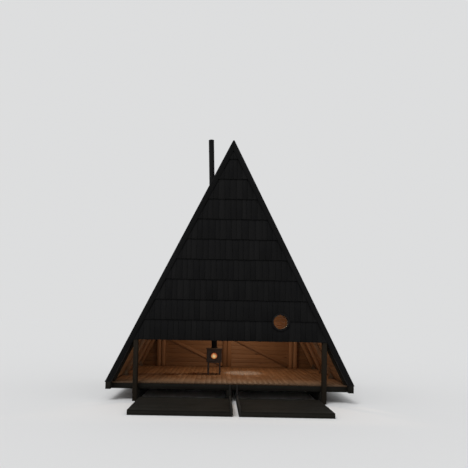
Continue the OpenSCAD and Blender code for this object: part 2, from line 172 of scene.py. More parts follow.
class RoomSettings(bpy.types.PropertyGroup):
    """Sizes of the boards and timbers inside."""

    floor_w: length("Floor board", "Width of one floor board", 0.142)
    floor_gap: length("Floor gap", "Gap between two floor boards", 0.0012)
    lining_w: length("Lining board", "Width of one board of the linings", 0.145)
    lining_gap: length("Lining gap", "Gap between two lining boards", 0.0008)
    brace_w: length("Brace", "Width of a brace of the back wall", 0.100)
    groove: length("Groove", "Depth of the groove between two lining boards", 0.0035)
    timber_edge: length("Timber edge", "Planed edge of a post, rafter or stud", 0.005)
    joist_w: length("Joist", "Width of one floor joist", 0.060)
    joists: IntProperty(name="Joists", description="Number of floor joists", default=8, min=2)


class DeckSettings(bpy.types.PropertyGroup):
    """Sizes of the front deck."""

    plank_w: length("Plank", "Width of one deck plank", 0.140)
    plank_gap: length("Plank gap", "Gap between two deck planks", 0.007)
    plank_t: length("Plank thickness", "Thickness of the deck planks", 0.028)
    bearer_w: length("Bearer", "Width of one deck bearer", 0.045)
    bearers: IntProperty(name="Bearers", description="Bearers under each half", default=4, min=2)
    runner_w: length("Runner", "Width of one runner", 0.050)
    runner_h: length("Runner height", "Height of a runner above the ground", 0.185)
    edge: length("Edge", "Worn edge of a plank", 0.004)


class StoveSettings(bpy.types.PropertyGroup):
    """Sizes of the stove and its flue."""

    corner: length("Corner", "Radius of the upright corners of the stove's body", 0.024)
    top_over: length("Top plate", "How far the top plate stands over the body", 0.018)
    top_t: length("Top thickness", "Thickness of the top plate", 0.020)
    leg_w: length("Leg", "Width of a leg", 0.052)
    leg_set: length("Leg place", "Distance of a leg's outer sides inside the body's sides", 0.028)
    foot_over: length("Foot", "How far a foot stands out round its leg", 0.006)
    ash_over: length("Ash lip", "How far the ash lip stands before the body", 0.042)
    rim: length("Rim", "Width of the cast rim round the window", 0.028)
    band: length("Joint band", "Height of the band where two lengths of flue meet", 0.035)
    glow: number("Glow", "Strength of the fire behind the window", 0.55, min=0.0)


class PaletteSettings(bpy.types.PropertyGroup):
    """Colours of the finishes."""

    tar: colour("Tar", "Black stain of the cladding", (0.0036, 0.0036, 0.0038))
    # tar_worn_and_lit is the paler tar of the thinned streaks, and also of the painted light at the
    # boards' feet.
    tar_worn_and_lit: colour("Worn tar", "Stain that the weather has thinned", (0.0108, 0.0105, 0.0104))
    pine: colour("Pine", "Light wood of the room and frames", (0.30, 0.162, 0.078))
    pine_dark: colour("Pine rings", "Late wood in the light timber", (0.150, 0.068, 0.028))
    floor: colour("Floor", "Light wood of the floor", (0.335, 0.196, 0.108))
    floor_dark: colour("Floor rings", "Late wood in the floor", (0.175, 0.096, 0.050))
    grey: colour("Weathered", "Grey timber outside, near the ground", (0.0125, 0.0115, 0.0092))
    grey_dark: colour("Weathered dark", "Rings and stains of the grey timber", (0.0050, 0.0045, 0.0036))
    bleached: colour("Bleached", "Newer timber of the runners", (0.020, 0.0192, 0.0178))
    # post also darkens the front pair of rafters, as painted shade.
    post: colour("Post", "Oiled wood of the front posts", (0.0130, 0.0096, 0.0060))
    post_dark: colour("Post rings", "Late wood in the front posts", (0.0060, 0.0043, 0.0026))
    iron: colour("Iron", "Cast iron of the stove", (0.045, 0.029, 0.021))
    flue: colour("Flue", "Black paint of the flue and the porthole", (0.0032, 0.0032, 0.0035))
    flue_dusty: colour("Flue dust", "Dust on the black paint", (0.0066, 0.0064, 0.0064))
    steel: colour("Steel", "Dull steel of the rafter shoes", (0.300, 0.215, 0.140))
    felt: colour("Felt", "Dark felt behind the boards", (0.016, 0.016, 0.017))
    felt_dusty: colour("Felt dust", "Dust on the felt", (0.030, 0.030, 0.031))
    fire: colour("Fire", "Brightest part of the fire", (1.0, 0.62, 0.22))
    ember: colour("Ember", "Darkest part of the fire", (0.62, 0.13, 0.02))


class StageSettings(bpy.types.PropertyGroup):
    """Camera, lamps and floor."""

    camera_x: coordinate("Camera X", "Place of the camera across the front", -0.305)
    camera_y: coordinate("Camera Y", "Place of the camera before the front", -13.919)
    camera_z: coordinate("Camera Z", "Height of the camera", 2.205)
    lens: number("Lens", "Focal length on a 36 mm sensor, in millimetres", 37.64)
    shift_x: number("Shift X", "Sideways shift of the lens", 0.0315)
    shift_y: number("Shift Y", "Upward shift of the lens", 0.1397)
    tilt: degrees("Tilt", "How far the camera looks up", 2.0)
    roll: degrees("Roll", "Roll of the camera", 1.065)
    paper: colour("Backdrop", "Colour of the floor of the stage", (0.78, 0.785, 0.79))
    sun: number("Sun", "Strength of the sun", 1.35, min=0.0)
    sun_height: degrees("Sun height", "Height of the sun over the horizon", 54.0)
    sun_turn: degrees("Sun turn", "How far to the left the sun stands", 28.0)
    sky: number("Sky", "Strength of the even light from all sides", 0.58, min=0.0)
    room_lamp: number("Room lamp", "Power of the warm lamp in the room, in watts", 95.0, min=0.0)
    warm: colour("Room lamp's colour", "Colour of the warm lamp in the room", (1.0, 0.72, 0.475))
    downlight: number("Downlight", "Power of the white lamp over the floor, in watts", 145.0, min=0.0)
    cool: colour("Downlight's colour", "Colour of the white lamp over the floor", (0.51, 0.75, 1.0))


SETTINGS = {
    "cabin_cladding": CladdingSettings,
    "cabin_room": RoomSettings,
    "cabin_deck": DeckSettings,
    "cabin_stove": StoveSettings,
    "cabin_palette": PaletteSettings,
    "cabin_stage": StageSettings,
}


# Meshes: closed sweeps

def sweep(loops, grain=None, tone=0.5, run=0.0, ring=False):
    """A batch of closed surfaces, each a loop of points carried through its stations.

    loops has the shape (pieces, stations, points, 3). Neighbouring loops are joined by
    four-sided faces, and the first and last are filled, or with ring joined to each other.
    grain is the place in the wood (along, across, deep) of each point, tone one number for
    each piece, and run a number for each point. Faces that point inwards are turned round:
    the sum of a . (b x c) over the triangles of a batch tells which way they point.
    """
    loops = np.asarray(loops, float)
    pieces, stations, points, _ = loops.shape
    index = np.arange(pieces * stations * points).reshape(pieces, stations, points)
    here = index if ring else index[:, :-1]
    there = np.roll(index, -1, 1) if ring else index[:, 1:]
    quads = np.stack([here, np.roll(here, -1, 2), np.roll(there, -1, 2), there], -1)
    quads = quads.reshape(-1, 4)
    ends = index[:, :0, :].reshape(0, points)
    if not ring:
        ends = np.concatenate([index[:, 0, ::-1], index[:, -1]])
    co = loops.reshape(-1, 3)
    a, b, c, d = (co[quads[:, i]] for i in range(4))
    inside = np.einsum("ij,ij->", a, np.cross(b, c)) + np.einsum("ij,ij->", a, np.cross(c, d))
    fan = co[ends]
    inside += np.einsum("ijk,ijk->", np.repeat(fan[:, :1], points - 2, 1),
                        np.cross(fan[:, 1:-1], fan[:, 2:]))
    if inside < 0:
        quads, ends = quads[:, ::-1], ends[:, ::-1]
    return {
        "co": co,
        "faces": (quads, ends),
        "grain": (loops if grain is None else np.broadcast_to(grain, loops.shape)).reshape(-1, 3),
        "tone": np.broadcast_to(np.reshape(tone, (-1, 1)), (pieces, stations * points)).ravel(),
        "run": np.broadcast_to(run, loops.shape[:3]).ravel(),
    }


def linked(name, data):
    """A new object with this data, in the scene."""
    made = bpy.data.objects.new(name, data)
    bpy.context.scene.collection.objects.link(made)
    return made


def build(name, *batches, smooth=None):
    """One mesh of all the batches. smooth is the angle, in degrees, above which an edge stays sharp."""
    shift = np.cumsum([0] + [len(batch["co"]) for batch in batches])
    faces = [f + s for batch, s in zip(batches, shift) for f in batch["faces"] if len(f)]
    corners = np.concatenate([f.ravel() for f in faces]).astype(np.int32)
    totals = np.concatenate([np.full(len(f), f.shape[1]) for f in faces])
    starts = np.concatenate([[0], np.cumsum(totals)[:-1]]).astype(np.int32)
    mesh = bpy.data.meshes.new(name)
    mesh.vertices.add(int(shift[-1]))
    mesh.vertices.foreach_set("co", np.concatenate([b["co"] for b in batches]).ravel())
    mesh.loops.add(len(corners))
    mesh.loops.foreach_set("vertex_index", corners)
    mesh.polygons.add(len(totals))
    mesh.polygons.foreach_set("loop_start", starts)
    mesh.update(calc_edges=True)
    for key, kind, field in (
            ("grain", "FLOAT_VECTOR", "vector"), ("tone", "FLOAT", "value"), ("run", "FLOAT", "value")):
        values = np.concatenate([b[key] for b in batches]).astype(np.float32).ravel()
        mesh.attributes.new(key, kind, "POINT").data.foreach_set(field, values)
    mesh.validate()
    if smooth is not None:
        mesh.shade_smooth()
        mesh.set_sharp_from_angle(angle=math.radians(smooth))
    return linked(name, mesh)


def wood_shift(rng, count):
    """Where in a tree each piece was sawn: a place along the trunk, and one off its middle."""
    reach = np.array([9.0, 0.20, 0.05])
    return rng.uniform(-1, 1, (count, 1, 1, 3)) * reach + (0.0, 0.0, 0.07)


# Boards

def crossing(a, b, edge, across=2):
    """Places across boards from a to b: their sides and, a worn edge inside them, across points."""
    a, b = (np.asarray(v, float)[:, None] for v in (a, b))
    return np.concatenate([a, a + edge + (b - a - 2 * edge) * np.linspace(0, 1, across), b], 1)


def planks(rng, s, t0, t1, face, place, edge):
    """Boards side by side, as one batch.

    In its own plane a board reaches across through the places s and runs along t from t0
    to t1, which may differ at each s. Its face stands at the height face over the plane, a
    number or a function of t, and drops by edge at its sides and ends. Its back is flat.
    place(s, t, w) sets it.
    """
    count, across = s.shape
    drop = np.zeros(2 * across)
    drop[[0, across - 1]] = edge
    behind = np.arange(2 * across) >= across
    t0, t1 = np.broadcast_to(t0, s.shape), np.broadcast_to(t1, s.shape)
    s, t0, t1 = (np.concatenate([v, v[:, ::-1]], 1) for v in (s, t0, t1))
    t1 = np.maximum(t1, t0 + 4 * edge)
    t = np.stack([t0, t0 + edge, t1 - edge, t1], 1)
    draw = np.array([edge, 0.0, 0.0, edge])[:, None]
    height = face(t) if callable(face) else face + 0 * t
    w = np.where(behind, 0.0, height - drop - draw)
    s = np.broadcast_to(s[:, None], t.shape)
    grain = np.stack([t, s - s[:, :, :1], w], -1) + wood_shift(rng, count)
    run = (t - t0[:, None]) / (t1 - t0)[:, None]
    return sweep(np.stack(np.broadcast_arrays(*place(s, t, w)), -1), grain, rng.random(count), run)


def split(s, t0, t1, inside, centre, reach):
    """Boards that a hole cuts through, as the part below it and the part above it.

    The hole reaches from centre - reach(s) to centre + reach(s) along the board. A part
    shorter than LEAST is left out.
    """
    t0, t1 = np.broadcast_to(t0, s.shape), np.broadcast_to(t1, s.shape)
    below, above = np.minimum(t1, centre - reach(s)), np.maximum(t0, centre + reach(s))
    low_part = inside & ((below - t0).max(1) > LEAST)
    high_part = inside & ((t1 - above).max(1) > LEAST)
    whole = ~inside
    return (
        np.concatenate([s[whole], s[low_part], s[high_part]]),
        np.concatenate([t0[whole], t0[low_part], above[high_part]]),
        np.concatenate([t1[whole], below[low_part], t1[high_part]]),
    )


def arc(centre, half_s, half_t):
    """Half the height of an oval hole at s, from its half axes."""
    return lambda s: half_t * np.sqrt(np.clip(1 - ((s - centre) / half_s) ** 2, 0, 1))


def even_joints(start, stop, width):
    """Joints between equal boards that fill the way from start to stop."""
    return np.linspace(start, stop, max(1, round((stop - start) / width)) + 1)


def mixed_joints(rng, marks, width, vary):
    """Joints between boards of mixed widths that fill the ways from each mark to the next."""
    ways = []
    for start, stop in zip(marks[:-1], marks[1:]):
        steps = rng.uniform(width - vary, width + vary, max(1, round((stop - start) / width)))
        ways.append(start + (stop - start) * np.cumsum(np.append(0, steps))[:-1] / steps.sum())
    return np.append(np.concatenate(ways), marks[-1])


def between(joints, gap):
    """The two sides of each board between its joints."""
    return joints[:-1] + gap / 2, joints[1:] - gap / 2


def on_wall(y0, out):
    """Sets (s, t, w) on an upright wall: s to the right, t up, w out of it along Y."""
    return lambda s, t, w: (s, y0 + out * w, t)


def on_slope(side, depth, out):
    """Sets (s, t, w) on the plane depth under the roof's outside: s along Y, t up the slope."""
    foot = half_width(depth, FLOOR_Z)
    return lambda s, t, w: (
        side * (foot - t * COS + out * w * SIN), s, FLOOR_Z + t * SIN + out * w * COS)


def level(place):
    """The same plane for level boards: s and t change places."""
    return lambda s, t, w: place(t, s, w)


# Timbers

def bars(rng, ends, edge, stations=6, wave=0.0006):
    """Sawn timbers, as one batch: each slides from one end's corners to the other's.

    ends has the shape (timbers, 2, corners, 3). Long edges are cut off at 45 degrees, each end
    is drawn in by the same amount, and the faces wander inwards by about wave.
    """
    ends = np.asarray(ends, float)
    ends = ends.reshape(-1, *ends.shape[-3:])
    count, _, corners, _ = ends.shape
    before, after = np.roll(ends, 1, 2) - ends, np.roll(ends, -1, 2) - ends
    before /= np.linalg.norm(before, axis=-1, keepdims=True)
    after /= np.linalg.norm(after, axis=-1, keepdims=True)
    shape = (count, 2, 2 * corners, 3)
    far, near = 1.6 * edge, 0.6 * edge
    loop = np.stack([ends + before * edge, ends + after * edge], 3).reshape(shape)
    drawn = np.stack([ends + before * far + after * near,
                      ends + after * far + before * near], 3).reshape(shape)
    lead = (ends[:, 1].mean(1) - ends[:, 0].mean(1))[:, None, None]
    length_of = np.linalg.norm(lead, axis=-1, keepdims=True)
    lead /= length_of
    share = np.concatenate([[0.0], np.linspace(0, 1, stations), [1.0]])[None, :, None, None]
    share = np.clip(share, edge / length_of, 1 - edge / length_of)
    loops = loop[:, :1] * (1 - share) + loop[:, 1:] * share
    out = loops - loops.mean(2, keepdims=True)
    out /= np.linalg.norm(out, axis=-1, keepdims=True)
    loops = loops - out * np.abs(rng.normal(0, wave, loops.shape[:3] + (1,)))
    loops[:, 0], loops[:, -1] = drawn[:, 0], drawn[:, 1]
    off = loops - ends[:, :1, :1]
    ways = [lead] + [way[:, :1, :1] - (way[:, :1, :1] * lead).sum(-1, keepdims=True) * lead
                     for way in (after, before)]
    grain = np.stack([(off * way).sum(-1) for way in ways], -1)
    return sweep(loops, grain + wood_shift(rng, count) * (1, 0.4, 1), rng.random(count), run=0.6)


def box_ends(low_corner, high_corner, axis):
    """The end corners of a timber that fills a box and runs along one axis."""
    p, q = (i for i in range(3) if i != axis)
    ends = np.empty((2, 4, 3))
    ends[0, :, axis], ends[1, :, axis] = low_corner[axis], high_corner[axis]
    ends[:, :, p] = low_corner[p], high_corner[p], high_corner[p], low_corner[p]
    ends[:, :, q] = low_corner[q], low_corner[q], high_corner[q], high_corner[q]
    return ends


def node_ends(node, axis):
    """The end corners of a timber that fills a solid's box."""
    return box_ends(*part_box(node), axis)


def rafter_ends(y0, y1, depth, foot_z, top_x, side):
    """End corners of a rafter under a slope: level at its foot, upright where it meets top_x."""
    ends = np.empty((2, 4, 3))
    corners = ((ROOF_T, y0), (ROOF_T, y1), (ROOF_T + depth, y1), (ROOF_T + depth, y0))
    for corner, (under, y) in enumerate(corners):
        ends[0, corner] = side * half_width(under, foot_z), y, foot_z
        ends[1, corner] = side * top_x, y, slope_height(under, top_x)
    return ends


# Turned and moulded metal

def eased(points, radius, steps=3):
    """A line with its inner corners rounded: each becomes a curve that starts radius before it.

    The curve is (1-t)^2 a + 2 t (1-t) p + t^2 b, with p the corner.
    """
    points = np.asarray(points, float)
    p = points[1:-1]
    starts = []
    for way in (points[:-2] - p, points[2:] - p):
        size = np.linalg.norm(way, axis=1, keepdims=True)
        starts.append(p + way / size * np.minimum(radius, 0.45 * size))
    a, b = starts
    t = np.linspace(0, 1, steps + 1)[:, None]
    curve = (1 - t) ** 2 * a[:, None] + 2 * t * (1 - t) * p[:, None] + t ** 2 * b[:, None]
    return np.concatenate([points[:1], curve.reshape(-1, points.shape[1]), points[-1:]])


def axes_of(axis):
    """Two directions square to an axis and to each other, and the axis itself."""
    up = np.asarray(axis, float) / np.linalg.norm(axis)
    flat = np.cross(up, (0.0, 1.0, 0.0) if abs(up[1]) < 0.9 else (1.0, 0.0, 0.0))
    flat /= np.linalg.norm(flat)
    return flat, np.cross(up, flat), up


def turned(profile, origins, axis, around=48, ring=False):
    """A profile of (radius, height) turned about an axis: r cos a across, r sin a, and h along."""
    radius, height = np.asarray(profile, float).T
    angle = np.linspace(0, 2 * math.pi, around, endpoint=False)
    first, second, up = axes_of(axis)
    circle = np.cos(angle)[:, None] * first + np.sin(angle)[:, None] * second
    shape = height[:, None, None] * up + radius[:, None, None] * circle
    origins = np.reshape(np.asarray(origins, float), (-1, 1, 1, 3))
    return sweep(origins + shape, ring=ring)


def moulded(rows, half, corner, place, steps=6):
    """A block with rounded corners that widens and narrows along its height.

    rows holds (height, outset). At each height the outline is a rectangle with the half
    sizes half, its corners rounded by corner, and all of it moved out by outset.
    """
    height, out = np.asarray(rows, float).T
    quarter = np.linspace(0, math.pi / 2, steps)
    turn = (quarter + np.arange(4)[:, None] * math.pi / 2).ravel()
    sign_p = np.repeat([1, -1, -1, 1], steps)
    sign_q = np.repeat([1, 1, -1, -1], steps)
    reach = np.maximum(corner + out[:, None], 0.0005)
    p = sign_p * (half[0] - corner) + reach * np.cos(turn)
    q = sign_q * (half[1] - corner) + reach * np.sin(turn)
    h = np.broadcast_to(height[:, None], p.shape)
    return sweep(np.stack(place(p, q, h), -1)[None])


def fixings(points, axis, radius, height):
    """Six-sided bolt heads with a worn rim, one at each point."""
    profile = [(radius, 0.0), (radius, height * 0.75), (radius * 0.8, height)]
    return turned(profile, points, axis, around=6)


def upright(x, y):
    """Sets (p, q, h) about an upright line: p to the right, q to the back, h up."""
    return lambda p, q, h: (x + p, y + q, h)


# Shader nodes

def operator_pair(operation):
    """A Python operator that adds a Math node, and its reflected form."""
    def straight(wire, other):
        return wire.nodes.node("ShaderNodeMath", {"operation": operation}, {0: wire, 1: other})

    def reflected(wire, other):
        return wire.nodes.node("ShaderNodeMath", {"operation": operation}, {0: other, 1: wire})

    return straight, reflected


class Wire:
    """An output socket that Python's operators build Math nodes on, in its tree of nodes."""

    __add__, __radd__ = operator_pair("ADD")
    __sub__, __rsub__ = operator_pair("SUBTRACT")
    __mul__, __rmul__ = operator_pair("MULTIPLY")
    __truediv__, __rtruediv__ = operator_pair("DIVIDE")
    __pow__, __rpow__ = operator_pair("POWER")

    def __init__(self, nodes, socket):
        self.nodes = nodes
        self.socket = socket

    def clamped(self):
        """The same value, held between 0 and 1."""
        return self.nodes.node(
            "ShaderNodeMath", {"operation": "ADD", "use_clamp": True}, {0: self, 1: 0.0})

    def between(self, start, stop):
        """Runs from 0 to 1 as this value goes from start to stop."""
        return self.nodes.node(
            "ShaderNodeMapRange", {"interpolation_type": "SMOOTHSTEP"},
            {"Value": self, "From Min": start, "From Max": stop})


class Nodes:
    """A node tree under construction."""

    def __init__(self, tree):
        self.tree = tree

    def node(self, kind, settings=None, inputs=None, output=0):
        """Adds a node: its settings first, then the values or links of its sockets."""
        made = self.tree.nodes.new(kind)
        for key, value in (settings or {}).items():
            if key == "stops":
                self._stops(made.color_ramp, value)
            else:
                setattr(made, key, value)
        for key, value in (inputs or {}).items():
            if isinstance(value, Wire):
                self.tree.links.new(value.socket, made.inputs[key])
            else:
                made.inputs[key].default_value = value
        return Wire(self, made.outputs[output])

    @staticmethod
    def _stops(ramp, stops):
        while len(ramp.elements) < len(stops):
            ramp.elements.new(0.5)
        for element, (place, shade) in zip(ramp.elements, stops):
            element.position = place
            element.color = (*shade, 1.0)


class Finish(Nodes):
    """A material under construction, with one Principled shader."""

    def __init__(self, name, **constants):
        self.material = bpy.data.materials.new(name)
        self.material.use_nodes = True
        super().__init__(self.material.node_tree)
        self.shader = self.tree.nodes["Principled BSDF"]
        for socket, value in constants.items():
            self.shader.inputs[socket.replace("_", " ")].default_value = value

    def stored(self, name, output="Fac"):
        """What the piece's points store under a name."""
        return self.node("ShaderNodeAttribute", {"attribute_name": name}, output=output)

    def place(self):
        """The place on the object, in metres."""
        return self.node("ShaderNodeTexCoord", output="Object")

    def vector(self, operation, *values, output=0):
        """A Vector Math node."""
        return self.node(
            "ShaderNodeVectorMath", {"operation": operation}, dict(enumerate(values)), output)

    def noise(self, vector, scale, detail=3.0, rough=0.55, output=0):
        """Noise at a place. scale may be a number for each axis."""
        if isinstance(scale, tuple):
            vector, scale = self.vector("MULTIPLY", vector, scale), 1.0
        return self.node(
            "ShaderNodeTexNoise", None,
            {"Vector": vector, "Scale": scale, "Detail": detail, "Roughness": rough}, output)

    def mix(self, factor, first, second):
        """Goes from the first colour to the second as the factor goes from 0 to 1."""
        first, second = (v if isinstance(v, Wire) else (*v, 1.0) for v in (first, second))
        return self.node(
            "ShaderNodeMix", {"data_type": "RGBA"}, {0: factor, 6: first, 7: second}, output=2)

    def bump(self, height, strength, distance):
        """A surface pushed out by height, up to a distance in metres."""
        return self.node(
            "ShaderNodeBump", None, {"Height": height, "Strength": strength, "Distance": distance})

    def feed(self, **links):
        """Links wires to the shader's own sockets."""
        for socket, wire in links.items():
            self.tree.links.new(wire.socket, self.shader.inputs[socket.replace("_", " ")])
        return self.material


# Finishes

def times(shade, factor=1.0):
    """A colour times a factor."""
    return tuple(v * factor for v in shade)


def grain_of(finish, ring_scale):
    """Rings, fibres and knots of wood, from the stored place in the wood.

    The last value is the distance from the middle of the nearest knot.
    """
    place = finish.stored("grain", "Vector")
    wander = finish.noise(place, (0.55, 2.2, 2.2), detail=2.0, output="Color")
    section = finish.vector("MULTIPLY", place, (0.0, 1.0, 1.0))
    bent = finish.vector("MULTIPLY_ADD", wander, (0.0, 0.055, 0.055), section)
    rings = finish.node(
        "ShaderNodeTexWave", {"wave_type": "RINGS", "rings_direction": "X", "wave_profile": "SAW"},
        {"Vector": bent, "Scale": ring_scale, "Distortion": 0.0})
    fibres = finish.noise(place, (7.0, 420.0, 420.0), detail=2.0, rough=0.6)
    away = finish.node(
        "ShaderNodeTexVoronoi", {"distance": "EUCLIDEAN"},
        {"Vector": finish.vector("MULTIPLY", place, (1.15, 3.6, 0.0)), "Scale": 1.0, "Randomness": 1.0})
    knot = 1 - away.between(0.035, 0.075)
    return place, rings, fibres, knot, away


def timber_finish(name, light, dark, ring_scale, rough=0.56, relief=0.25, tones=0.34, sheen=0.35,
                  shaded_front=None):
    """Planed softwood: late-wood rings, fine fibres, a few knots, and boards of mixed tone.

    tones is how much the boards differ. shaded_front holds the two places along Y between
    which the painted shade of the open front, where less light falls, fades away.
    """
    f = Finish(name, Roughness=rough, Specular_IOR_Level=sheen)
    place, rings, fibres, knot, away = grain_of(f, ring_scale)
    halo = 1 - away.between(0.05, 0.16)
    cloud = f.noise(place, (0.9, 5.0, 5.0))
    ring_mark = (rings ** 2.2) * 0.62 + (fibres - 0.5) * 0.30 + (cloud - 0.5) * 0.42
    shade = f.mix(ring_mark.clamped(), light, dark)
    shade = f.mix(halo * 0.35, shade, dark)
    shade = f.mix(knot * 0.85, shade, times(dark, 0.32))
    tone = (1 - tones / 2) + f.stored("tone") * tones
    shade = f.node("ShaderNodeVectorMath", {"operation": "SCALE"}, {0: shade, "Scale": tone})
    # Painted shade: the boards darken towards the open front, where less light falls on the floor.
    if shaded_front:
        depth = f.node("ShaderNodeSeparateXYZ", None, {0: f.place()}, output="Y")
        painted_front_shade = 1 - (depth + (cloud - 0.5) * 0.25).between(*shaded_front)
        shade = f.mix(painted_front_shade * 0.86, shade, times(dark, 0.25))
    return f.feed(
        Base_Color=shade,
        Roughness=(rough - 0.06) + fibres * 0.14 + rings * 0.04,
        Normal=f.bump(rings * 0.35 + fibres * 0.65 - knot * 0.4, relief, distance=0.0012),
    )


def tarred_finish(name, light, worn):
    """Boards in black stain: rough grain and thinned streaks, with painted light that makes each board
    paler at its foot and darker towards its upper end, under the course above.
    """
    f = Finish(name, Roughness=0.8, Specular_IOR_Level=0.11)
    place, rings, fibres, knot, _ = grain_of(f, ring_scale=16.0)
    run = f.stored("run")
    streak = f.noise(place, (1.2, 26.0, 8.0), detail=4.0, rough=0.62)
    # Painted light: the run term makes each board paler towards its foot and darker towards its upper
    # end, where the course above shades it. The streaks, tone and grain are the stain's own.
    thinned_and_lit = (1 - run.between(0.0, 0.75)) * 0.42 + (f.stored("tone") - 0.5) * 0.5 \
        + (streak - 0.5) * 0.9 + (fibres - 0.5) * 0.35 + (rings - 0.5) * 0.16
    shade = f.mix(thinned_and_lit.clamped(), light, worn)
    # Painted highlight: a narrow paler band along the foot of each board.
    foot = 1 - run.between(0.0, 0.012)
    height = rings * 0.3 + fibres * 0.7 + streak * 0.5 - knot * 0.5
    return f.feed(
        Base_Color=f.mix(foot * 0.5, shade, times(worn, 1.5)),
        Roughness=0.70 + streak * 0.22,
        Normal=f.bump(height, strength=0.55, distance=0.0022),
    )


def weathered_finish(name, light, dark):
    """Old sawn timber outside: greyed, checked along the grain and stained in cloudy patches."""
    f = Finish(name, Roughness=0.82, Specular_IOR_Level=0.08)
    place, rings, fibres, knot, _ = grain_of(f, ring_scale=18.0)
    crack = 1 - f.noise(place, (1.6, 110.0, 60.0), rough=0.7).between(0.30, 0.40)
    stain = f.noise(f.place(), 3.2, detail=4.0, rough=0.6)
    mark = rings * 0.35 + (fibres - 0.5) * 0.5 + (stain - 0.45) * 0.9 + (f.stored("tone") - 0.5) * 0.5
    shade = f.mix(mark.clamped(), light, dark)
    height = fibres * 0.6 + rings * 0.3 - crack * 0.9
    return f.feed(
        Base_Color=f.mix((crack * 0.7 + knot * 0.6).clamped(), shade, times(dark, 0.4)),
        Roughness=0.76 + stain * 0.14,
        Normal=f.bump(height, strength=0.6, distance=0.002),
    )


def metal_finish(name, shade, patches, rough, relief, scale, metallic=0.0, sheen=0.4):
    """Cast or rolled metal, or felt: a fine skin, and a second shade in cloudy patches."""
    f = Finish(name, Metallic=metallic, Roughness=rough, Specular_IOR_Level=sheen)
    place = f.place()
    cloud = f.noise(place, 4.5, detail=4.0, rough=0.6)
    return f.feed(
        Base_Color=f.mix(cloud.between(0.35, 0.75), shade, patches),
        Roughness=(rough - 0.1) + cloud * 0.22,
        Normal=f.bump(f.noise(place, scale, rough=0.6), relief, distance=0.0008),
    )


def fire_finish(name, fire, ember, strength):
    """A fire behind the stove's window: bright in the middle, darker towards the rim, with soft
    tongues.
    """
    f = Finish(name, Roughness=0.12, Emission_Strength=strength)
    place = f.place()
    heart = (WINDOW[X], WINDOW[Y] - 0.01, WINDOW[Z] - 0.012)
    away = f.vector("DISTANCE", place, heart, output="Value")
    tongues = f.noise(place, (22.0, 22.0, 9.0), rough=0.6)
    heat = 1.15 - away / (WINDOW_R * 1.1) + (tongues - 0.5) * 0.9
    glow = f.node("ShaderNodeValToRGB", {"stops": [
        (0.0, times(ember, 0.25)), (0.35, ember), (0.75, fire), (1.0, (1.0, 0.86, 0.55))]},
        {"Fac": heat.clamped()})
    return f.feed(Base_Color=f.mix(0.9, glow, (0.02, 0.01, 0.01)), Emission_Color=glow)


def glass_finish(name):
    """A clear pane with a little dust, coated so that it hardly mirrors."""
    f = Finish(name, Roughness=0.02, Transmission_Weight=1.0, IOR=1.12)
    dust = f.noise(f.place(), 18.0, detail=4.0, rough=0.6)
    return f.feed(
        Base_Color=f.mix(dust.between(0.45, 0.8), (1.0, 0.97, 0.92), (0.92, 0.88, 0.82)),
        Roughness=0.02 + dust.between(0.5, 0.9) * 0.08)


def finish(key):
    """A finish by its key, made the first time that a piece asks for it."""
    name = f"cabin_{key}"
    if name in bpy.data.materials:
        return bpy.data.materials[name]
    p = bpy.context.scene.cabin_palette
    glow = bpy.context.scene.cabin_stove.glow
    makers = {
        "tar": lambda: tarred_finish(name, times(p.tar), times(p.tar_worn_and_lit)),
        "pine": lambda: timber_finish(name, times(p.pine), times(p.pine_dark), ring_scale=46.0),
        "lining": lambda: timber_finish(
            name, times(p.pine, 0.86), times(p.pine_dark, 0.86), ring_scale=34.0),
        # The floor carries painted shade towards its open front.
        "floor": lambda: timber_finish(
            name, times(p.floor), times(p.floor_dark), ring_scale=32.0, rough=0.52, relief=0.14,
            tones=0.26, sheen=0.22, shaded_front=(ROOM_Y - 0.15, ROOM_Y + 0.95)),
        "post": lambda: timber_finish(
            name, times(p.post), times(p.post_dark), ring_scale=46.0, rough=0.74, relief=0.4,
            sheen=0.10),
        "grey": lambda: weathered_finish(name, times(p.grey), times(p.grey_dark)),
        "bleached": lambda: weathered_finish(name, times(p.bleached), times(p.grey)),
        "iron": lambda: metal_finish(
            name, times(p.iron), times(p.iron, 1.6), rough=0.60, relief=0.5, scale=420.0),
        "flue": lambda: metal_finish(
            name, times(p.flue), times(p.flue_dusty), rough=0.70, relief=0.15, scale=160.0,
            sheen=0.13),
        "zinc": lambda: metal_finish(
            name, times(p.steel), times(p.steel, 0.62), rough=0.42, relief=0.1, scale=90.0,
            metallic=0.9),
        "felt": lambda: metal_finish(
            name, times(p.felt), times(p.felt_dusty), rough=0.92, relief=0.4, scale=700.0),
        "fire": lambda: fire_finish(name, times(p.fire), times(p.ember), glow),
        "pane": lambda: glass_finish(name),
    }
    return makers[key]()


def kept(key, *nodes):
    """Finishes solids that are shown as they are."""
    for node in nodes:
        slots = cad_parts[node].data.materials
        slots.clear()
        slots.append(finish(key))


def shown(name, key, *batches, nodes=(), slot=None, smooth=None):
    """Shows the batches as one piece, with a finish and the solids that it stands for. slot is not used.
    """
    piece = build(name, *batches, smooth=smooth)
    piece.data.materials.append(finish(key))
    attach(piece, "root")
    if nodes:
        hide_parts(*nodes)


# The steps that dress the cabin

